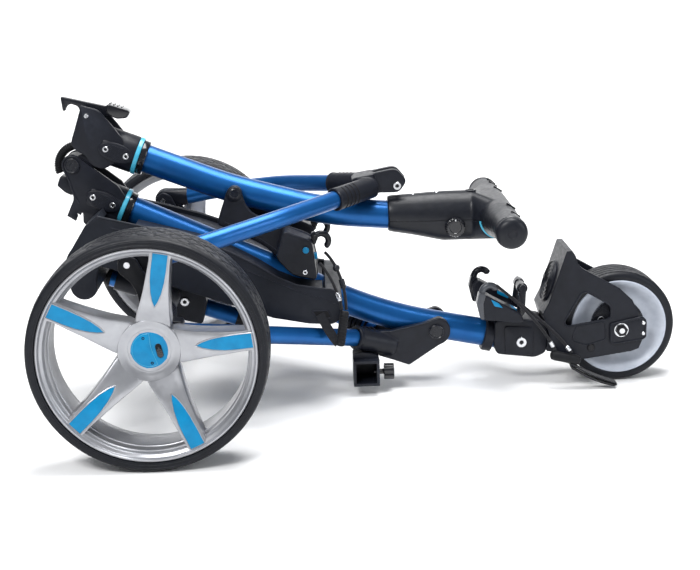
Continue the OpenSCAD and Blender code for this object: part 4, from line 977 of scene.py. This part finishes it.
p.lathe([(10.5, 0), (12.2, 0), (12.5, 0.5), (12.5, (sp1 - sp0).length), (10.5, (sp1 - sp0).length)], frame_at(tuple(sp0), tuple(sd)), BLUE, 56, closed=True).done()
p = Part("spur_fitting_shells", "leg_frame", ["spur_fittings"], "black_casting")
p.prism(rounded([(-22, 24), (14, 22), (48, 8), (52, -14), (44, -46), (8, -36), (-20, -28)], 6, 4), -26, 26, CAST, 2.4, 4)
p.lathe([(0, -2.6), (10.8, -2.6), (12.8, -1.8), (13.4, 0), (13.4, 4), (12.5, 4)], frame_at(tuple(sp0), tuple(sd)), RUBBER, 48)
a = sp0 + sd * 12
p.lathe([(12.6, 0), (14.8, 0), (15.5, 1), (15.5, 34), (14.8, 35), (12.6, 35)], frame_at(tuple(a), tuple(sd)), CAST, 56)
p.lathe([(12.6, -3), (13.8, -3), (14.2, 0), (14.2, 12), (12, 16), (6, 17.4), (0, 17.6)], frame_at(tuple(sp1), tuple(sd)), RUBBER, 48)
star6 = [(20 + (3.6 if k % 2 else 2.4) * math.cos(math.radians(30 * k)), -10 + (3.6 if k % 2 else 2.4) * math.sin(math.radians(30 * k))) for k in range(12)]
for s in (1, -1):
    p.lathe([(0, s * 25.6), (6.2, s * 25.6), (6.6, s * 26.6), (6.4, s * 28.6), (5.4, s * 29.4), (0, s * 29.4)], yaxis((20, -10)), STEEL, 40)
    # dark star in each cap: painted shade in the socket
    p.prism(star6, s * 29.0, s * 29.7, RECESS_SHADE, 0)
p.done()
dress("accessory_socket", CAST)
soften("thumb_screw", GLOSS, 0.7, 3)

# ------------------------------------------------------------------ stays
p = Part("stay_bracket_shell", "stays", ["stay_bracket"], "black_casting")
for s in (1, -1):
    p.tube([(243, s * 66.5, 141.4), (296, s * 16.6, 148.5)], 16, CAST, 44)
p.hull([(x, y, z) for x, z in ((272, 136), (268, 160), (300, 168), (306, 139)) for y in (-16, 16)] +
       [(x, y, z) for x, z in ((276, 138), (274, 164), (298, 168), (300, 140)) for y in (-24, 24)], CAST)
tail = rounded([(282, 140), (276, 160), (280, 165), (326, 173.5), (334, 172), (346, 158), (345, 152), (337, 141), (330, 139)], 4, 4)
p.prism(tail, 7.4, 17, CAST, 0, both=True)
p.done(organic=(1.3, 4))
p = Part("stay_bracket_trim", "stays", [], "black_casting")
for s in (1, -1):
    a, b = Vector((243, s * 66.5, 141.4)), Vector((296, s * 16.6, 148.5))
    d = (b - a).normalized()
    for k in range(4):
        c = a + d * (10 + 7.5 * k)
        M = frame_at(tuple(c), tuple(d))
        # slots drawn as dark bands of painted shade over the outer half of each sleeve
        outw = Vector((0, s, 0)) - d * d.y * s
        outw.normalize()
        up = d.cross(outw)
        q = [tuple(c + 15.75 * (math.cos(t) * outw + math.sin(t) * up)) for t in (math.radians(x) for x in range(-70, 71, 10))]
        p.tube(q, 1.05, RECESS_SHADE, 8)
    p.lathe([(12.6, -2.4), (15.4, -2.4), (16.4, -1.4), (16.4, 1.6), (15.4, 2.4), (12.6, 2.4)], frame_at(tuple(a), tuple(d)), CAST, 48)
p.done()
p = Part("stay_end_shells", "stays", ["stay_ends"], "black_casting")
for s in (1, -1):
    p.hull(ydisc(B, s * 206, s * 236, 13.6, 40) + [tuple(Vector(c) + 13.5 * Vector((0, math.cos(t), math.sin(t)))) for c in ((-12, s * 221, 97.4), (10, s * 218.3, 100.6))
                                                  for t in (2 * math.pi * i / 24 for i in range(24))], CAST)
p.done(organic=(1.3, 4))
p = Part("catch_pin_hardware", "stays", [], "steel")
p.lathe([(0, -16), (3.5, -16), (3.5, 16), (0, 16)], yaxis(N), STEEL, 28)
for s in (1, -1):
    bolt(p, N, 16.0, 19.0, 5.8, 2.6, side=s)
p.done()

# ------------------------------------------------------------------ rear wheels
f0 = -330.0
rr = 152.5


def fy(r):
    return f0 + np.interp(r, [26, 30, 60, 100, 133], [34, 33, 20, 9, 4.2])


def by(r):
    return f0 + np.interp(r, [36, 60, 100, 133], [58, 48, 38, 30])


def tyre(name, body, node, sg):
    n = 420
    base = [(138.65, 2.5), (139.6, 0.8), (143, 0.2), (147.6, 0.1), (149.4, 1.0), (150.6, 3.2), (151.3, 7.5), (151.75, 12)]
    tread = [(152.05 + 0.42 * math.sin(math.pi * (y - 14) / 47), y) for y in np.linspace(14, 61, 42)]
    back = [(151.75, 63), (151.3, 67.5), (150.6, 71.8), (149.4, 74), (147.6, 74.9), (143, 74.8), (139.6, 74.2), (138.65, 72.5)]
    prof = base + tread + back
    m = len(prof)
    v = []
    for k in range(n):
        a = 2 * math.pi * k / n
        for r, y in prof:
            d = 0.0
            if 9 < y < 66:
                # fine wavy sipes that cross as long diamonds
                w = 44 * a + 0.55 * math.sin(0.42 * (y - 37.5))
                e1 = abs(math.sin(0.5 * (w + 0.16 * (y - 37.5) * 1.9)))
                e2 = abs(math.sin(0.5 * (w - 0.16 * (y - 37.5) * 1.9)))
                e = min(e1, e2)
                d = 1.25 * max(0.0, 1 - e / 0.24) ** 0.7
                if 36.3 < y < 38.8:
                    d = max(d, 0.9)
            q = r - d
            v.append((q * math.cos(a), sg * -(f0 + y), q * math.sin(a)))
    f = [[k * m + i, ((k + 1) % n) * m + i, ((k + 1) % n) * m + (i + 1) % m, k * m + (i + 1) % m] for k in range(n) for i in range(m)]
    p = Part(name, body, [node], "tyre")
    p.raw(v, f, TYRE)
    # fine circumferential lines pressed into the sidewall
    for r in (142.2, 146.4):
        p.tube([(r * math.cos(t), sg * -(f0 + 0.25), r * math.sin(t)) for t in (2 * math.pi * i / 180 for i in range(181))], 0.45, TYRE, 6, caps=False)
    p.done(angle=38)


def wheel(tag, sg):
    """sg is -1 on the near side and 1 on the far side"""
    body = tag + "_wheel"
    Y = lambda y: sg * -(y)  # profile heights are written for the near side
    tyre(tag + "_tyre_tread", body, tag + "_tyre", sg)
    p = Part(tag + "_rim_spoked", body, [tag + "_rim"], "wheel_silver")
    prof = [(138.5, 2.4), (137.8, 0.8), (136.8, 0.0), (135.4, 0.1), (134.4, 1.2), (133.7, 3.4), (132.6, 4.6), (130.6, 5.4), (129.0, 7.0), (128.3, 9.6), (127.2, 11.4), (126.4, 12.2), (126.2, 22), (125.6, 23.4),
            (124.8, 24), (124.4, 36), (125.4, 56), (126, 70), (127.4, 73), (130, 74.3), (136, 74.5), (138.5, 72)]
    p.lathe([(r, Y(f0 + y)) for r, y in prof], yaxis((0, 0)), SILVER, 192, closed=True)
    for k in range(5):
        a = math.radians(79.3 + 72 * k)
        ca, sa = math.cos(a), math.sin(a)
        v, f, rings = [], [], []
        rs = [20, 30, 40, 46, 52, 58, 64, 72, 82, 92, 102, 112, 120, 126, 130, 133.4]
        for r in rs:
            w = np.interp(r, [0, 39, 60, 80, 100, 120, 128, 134], [23, 22.5, 19.0, 16.4, 14.8, 13.6, 13.8, 15.2])
            F0, B0 = fy(max(r, 30)), by(max(r, 40))
            c = min(3.2, w * 0.3)
            sec = [(-w, B0), (-w, F0 + c), (-w + 0.3 * c, F0 + 0.3 * c), (-w + c, F0), (-w * 0.5, F0 - 0.15), (0, F0 - 0.2), (w * 0.5, F0 - 0.15), (w - c, F0),
                   (w - 0.3 * c, F0 + 0.3 * c), (w, F0 + c), (w, B0), (w - 3.4, B0), (w - 3.8, F0 + 9), (-w + 3.8, F0 + 9), (-w + 3.4, B0)]
            rings.append(range(len(v), len(v) + len(sec)))
            for t, y in sec:
                v.append((r * ca - t * sa, Y(y), r * sa + t * ca))
        m = len(rings[0])
        for i in range(len(rs) - 1):
            f += [[rings[i][j], rings[i][(j + 1) % m], rings[i + 1][(j + 1) % m], rings[i + 1][j]] for j in range(m)]
        f += [list(rings[0]), list(rings[-1])]
        p.raw(v, f, SILVER)
        # raised border round the insert
        out = [(133, -10.1), (133, 10.1), (112, 10.2), (96, 9.6), (80, 7.4), (68, 4.2), (59.6, 0), (68, -4.2), (80, -7.4), (96, -9.6), (112, -10.2), (133, -10.1)]
        dn = []
        for (r1, t1), (r2, t2) in zip(out, out[1:]):
            dn += [(r1 + (r2 - r1) * j / 4, t1 + (t2 - t1) * j / 4) for j in range(4)]
        dn.append(out[-1])
        p.tube([(r * ca - t * sa, Y(fy(r) - 0.2), r * sa + t * ca) for r, t in dn], 0.9, SILVER, 8)
    p.lathe([(r, Y(f0 + y)) for r, y in [(6.1, 39), (26.2, 39), (26.3, 33.6), (27.4, 32.5), (29, 32.2), (30, 32.2), (34, 30.6), (37, 29.4), (39.4, 28.6), (40.4, 30),
                                         (40, 56), (28, 66), (26, 76), (6.1, 76)]], yaxis((0, 0)), SILVER, 96, closed=True)
    p.done()
    p = Part(tag + "_trim_cyan", body, [tag + "_wheel_trim"], "cyan_trim")
    for k in range(5):
        a = math.radians(79.3 + 72 * k)
        ca, sa = math.cos(a), math.sin(a)
        st = [(61, 0.4), (64, 1.7), (68, 3.4), (74, 5.1), (80, 6.6), (88, 7.9), (96, 8.8), (104, 9.2), (112, 9.4), (120, 9.3), (126.5, 9.2), (132.2, 9.3)]
        v, f = [], []
        for r, w in st:
            for t, dy in ((-w, 0.7), (-w, -0.35), (-w * 0.5, -0.6), (0, -0.7), (w * 0.5, -0.6), (w, -0.35), (w, 0.7)):
                v.append((r * ca - t * sa, Y(fy(r) + dy), r * sa + t * ca))
        for i in range(len(st) - 1):
            f += [[i * 7 + j, i * 7 + (j + 1) % 7, (i + 1) * 7 + (j + 1) % 7, (i + 1) * 7 + j] for j in range(7)]
        f += [list(range(7)), list(range(7 * (len(st) - 1), 7 * len(st)))]
        p.raw(v, f, CYAN)
    p.lathe([(r, Y(f0 + y)) for r, y in [(0, 32.8), (23.4, 32.8), (25.0, 33.0), (25.9, 33.8), (26.1, 35), (26.1, 38.4), (0, 38.4)]],
            yaxis((0, 0)), CYAN, 80)
    # crescent panel line, two screws dark with painted shade, and the slot of the release with painted shade inside
    dpan = [(23.2 * math.cos(math.radians(t)), 23.2 * math.sin(math.radians(t))) for t in range(87, 300, 6)]
    dpan += [(9.4, -16.0), (7.4, -11.0), (5.4, -6.0), (3.8, -0.5), (2.6, 5.0), (1.8, 11.0), (1.4, 17.0)]
    p.prism(dpan, Y(f0 + 33.6), Y(f0 + 32.4), CYAN, 0.35, 2)
    q = [(x * 0.93 - 0.5, Y(f0 + 32.42), z * 0.93) for x, z in dpan]
    p.tube(q + [q[0]], 0.28, CYRING, 6)
    for cx, cz in ((-7, 15.7), (2.6, -17.1)):
        M = yaxis((cx, cz))
        p.lathe([(0, Y(f0 + 33.3)), (1.9, Y(f0 + 33.3)), (2.0, Y(f0 + 32.4)), (1.6, Y(f0 + 32.15)), (0.9, Y(f0 + 32.15)), (0.8, Y(f0 + 32.5)), (0, Y(f0 + 32.5))], M, RECESS_SHADE, 20)
    c, u, w = (12.4, -1), (math.cos(math.radians(102)), math.sin(math.radians(102))), (-math.sin(math.radians(102)), math.cos(math.radians(102)))

    def slotp(Lh, hw, sh=0.0):
        o = []
        for base in (-90, 90):
            s1 = 1 if base == -90 else -1
            for i in range(11):
                t = math.radians(base + 18 * i)
                o.append((c[0] + u[0] * (s1 * (Lh - hw) + sh) + hw * (u[0] * math.cos(t) + w[0] * math.sin(t)),
                          c[1] + u[1] * (s1 * (Lh - hw) + sh) + hw * (u[1] * math.cos(t) + w[1] * math.sin(t))))
        return o

    p.prism(slotp(9.6, 4.2), Y(f0 + 34.8), Y(f0 + 32.65), RECESS_SHADE, 0)
    rim = slotp(9.9, 4.5)
    p.tube([(x, Y(f0 + 32.75), z) for x, z in rim + [rim[0]]], 0.5, CYAN, 6)
    p.done()
    p = Part(tag + "_release_button", tag + "_slider", [tag + "_release"], "black_satin")
    p.prism(slotp(6.8, 3.9, -2.6), Y(f0 + 34.7), Y(f0 + 31.4), GLOSS, 0.9, 3)
    for k in (-2.4, 0, 2.4):
        cc = (c[0] + u[0] * (k - 2.6), c[1] + u[1] * (k - 2.6))
        p.tube([(cc[0] - w[0] * 2.6, Y(f0 + 31.3), cc[1] - w[1] * 2.6), (cc[0] + w[0] * 2.6, Y(f0 + 31.3), cc[1] + w[1] * 2.6)], 0.45, GLOSS, 8)
    p.done()


wheel("near", -1)
wheel("far", 1)

# ------------------------------------------------------------------ stage
bm = bmesh.new()
bmesh.ops.create_grid(bm, x_segments=2, y_segments=2, size=6)
me = bpy.data.meshes.new("floor")
bm.to_mesh(me)
bm.free()
floor = bpy.data.objects.new("floor", me)
bpy.context.scene.collection.objects.link(floor)
floor.location = (0, 0, -0.0005)
floor_mat = shade("pale_floor", (0.88, 0.88, 0.88), (0.91, 0.91, 0.91), 0.7, 0.05, spec=0.2, scale=3, bumps=[("noise", 300, 0.03, 0.0002)])
me.materials.append(floor_mat)
v = [(-6, 2.6 + 1.2 * math.sin(t), 1.2 - 1.2 * math.cos(t)) for t in (math.pi / 2 * i / 24 for i in range(25))] + [(-6, 3.8, 7)]
v2 = [(6, y, z) for _, y, z in v]
me = bpy.data.meshes.new("backdrop")
n = len(v)
me.from_pydata(v + v2, [], [[i, i + 1, n + i + 1, n + i] for i in range(n - 1)])
for q in me.polygons:
    q.use_smooth = True
back = bpy.data.objects.new("backdrop", me)
bpy.context.scene.collection.objects.link(back)
me.materials.append(floor_mat)

world = bpy.data.worlds.new("studio")
bpy.context.scene.world = world
world.use_nodes = True
world.node_tree.nodes["Background"].inputs["Color"].default_value = (0.92, 0.95, 1.0, 1)
world.node_tree.nodes["Background"].inputs["Strength"].default_value = 0.34


def area(name, loc, target, size, power, color=(1, 1, 1)):
    d = bpy.data.lights.new(name, "AREA")
    d.shape = "RECTANGLE"
    d.size, d.size_y = size
    d.energy = power
    d.color = color
    o = bpy.data.objects.new(name, d)
    bpy.context.scene.collection.objects.link(o)
    o.location = loc
    o.rotation_euler = (Vector(target) - Vector(loc)).to_track_quat("-Z", "Y").to_euler()
    return o


area("key", (-1.0, -1.7, 1.9), (0, 0, 0.2), (0.9, 0.6), 50)
area("top", (0.2, 0.1, 2.3), (0, 0, 0.1), (1.8, 1.0), 74)
area("fill", (1.9, -1.4, 1.1), (0.1, 0, 0.2), (0.5, 1.2), 14, (0.92, 0.96, 1.0))
area("back", (0.0, 2.2, 2.0), (0, 3.4, 0.6), (3.5, 0.8), 72)
bpy.context.scene.view_settings.view_transform = "Standard"
bpy.context.scene.view_settings.look = "None"

# ------------------------------------------------------------------ camera at the picture's angle
tilt = 0.0251
yaw, pitch, roll = 0.029, 0.25, -0.002


def lev(v):
    return Vector((v[0] * math.cos(tilt) + v[2] * math.sin(tilt), v[1], -v[0] * math.sin(tilt) + v[2] * math.cos(tilt)))


fwd = Vector((math.sin(yaw) * math.cos(pitch), math.cos(yaw) * math.cos(pitch), -math.sin(pitch)))
right = Vector((math.cos(yaw), -math.sin(yaw), 0))
upv = right.cross(fwd)
r_ = lev(right * math.cos(roll) + upv * math.sin(roll))
u_ = lev(upv * math.cos(roll) - right * math.sin(roll))
f_ = lev(fwd)
loc = lev(Vector((205.612, -1927.67, 498.839))) / 1000 + Vector((-0.29025, 0, 0.1525))
cd = bpy.data.cameras.new("camera")
cd.lens, cd.sensor_width, cd.sensor_fit = 69.287, 36, "HORIZONTAL"
cam = bpy.data.objects.new("camera", cd)
bpy.context.scene.collection.objects.link(cam)
b_ = -f_
cam.matrix_world = Matrix(((r_.x, u_.x, b_.x, loc.x), (r_.y, u_.y, b_.y, loc.y), (r_.z, u_.z, b_.z, loc.z), (0, 0, 0, 1)))
bpy.context.scene.camera = cam
bpy.context.view_layer.update()
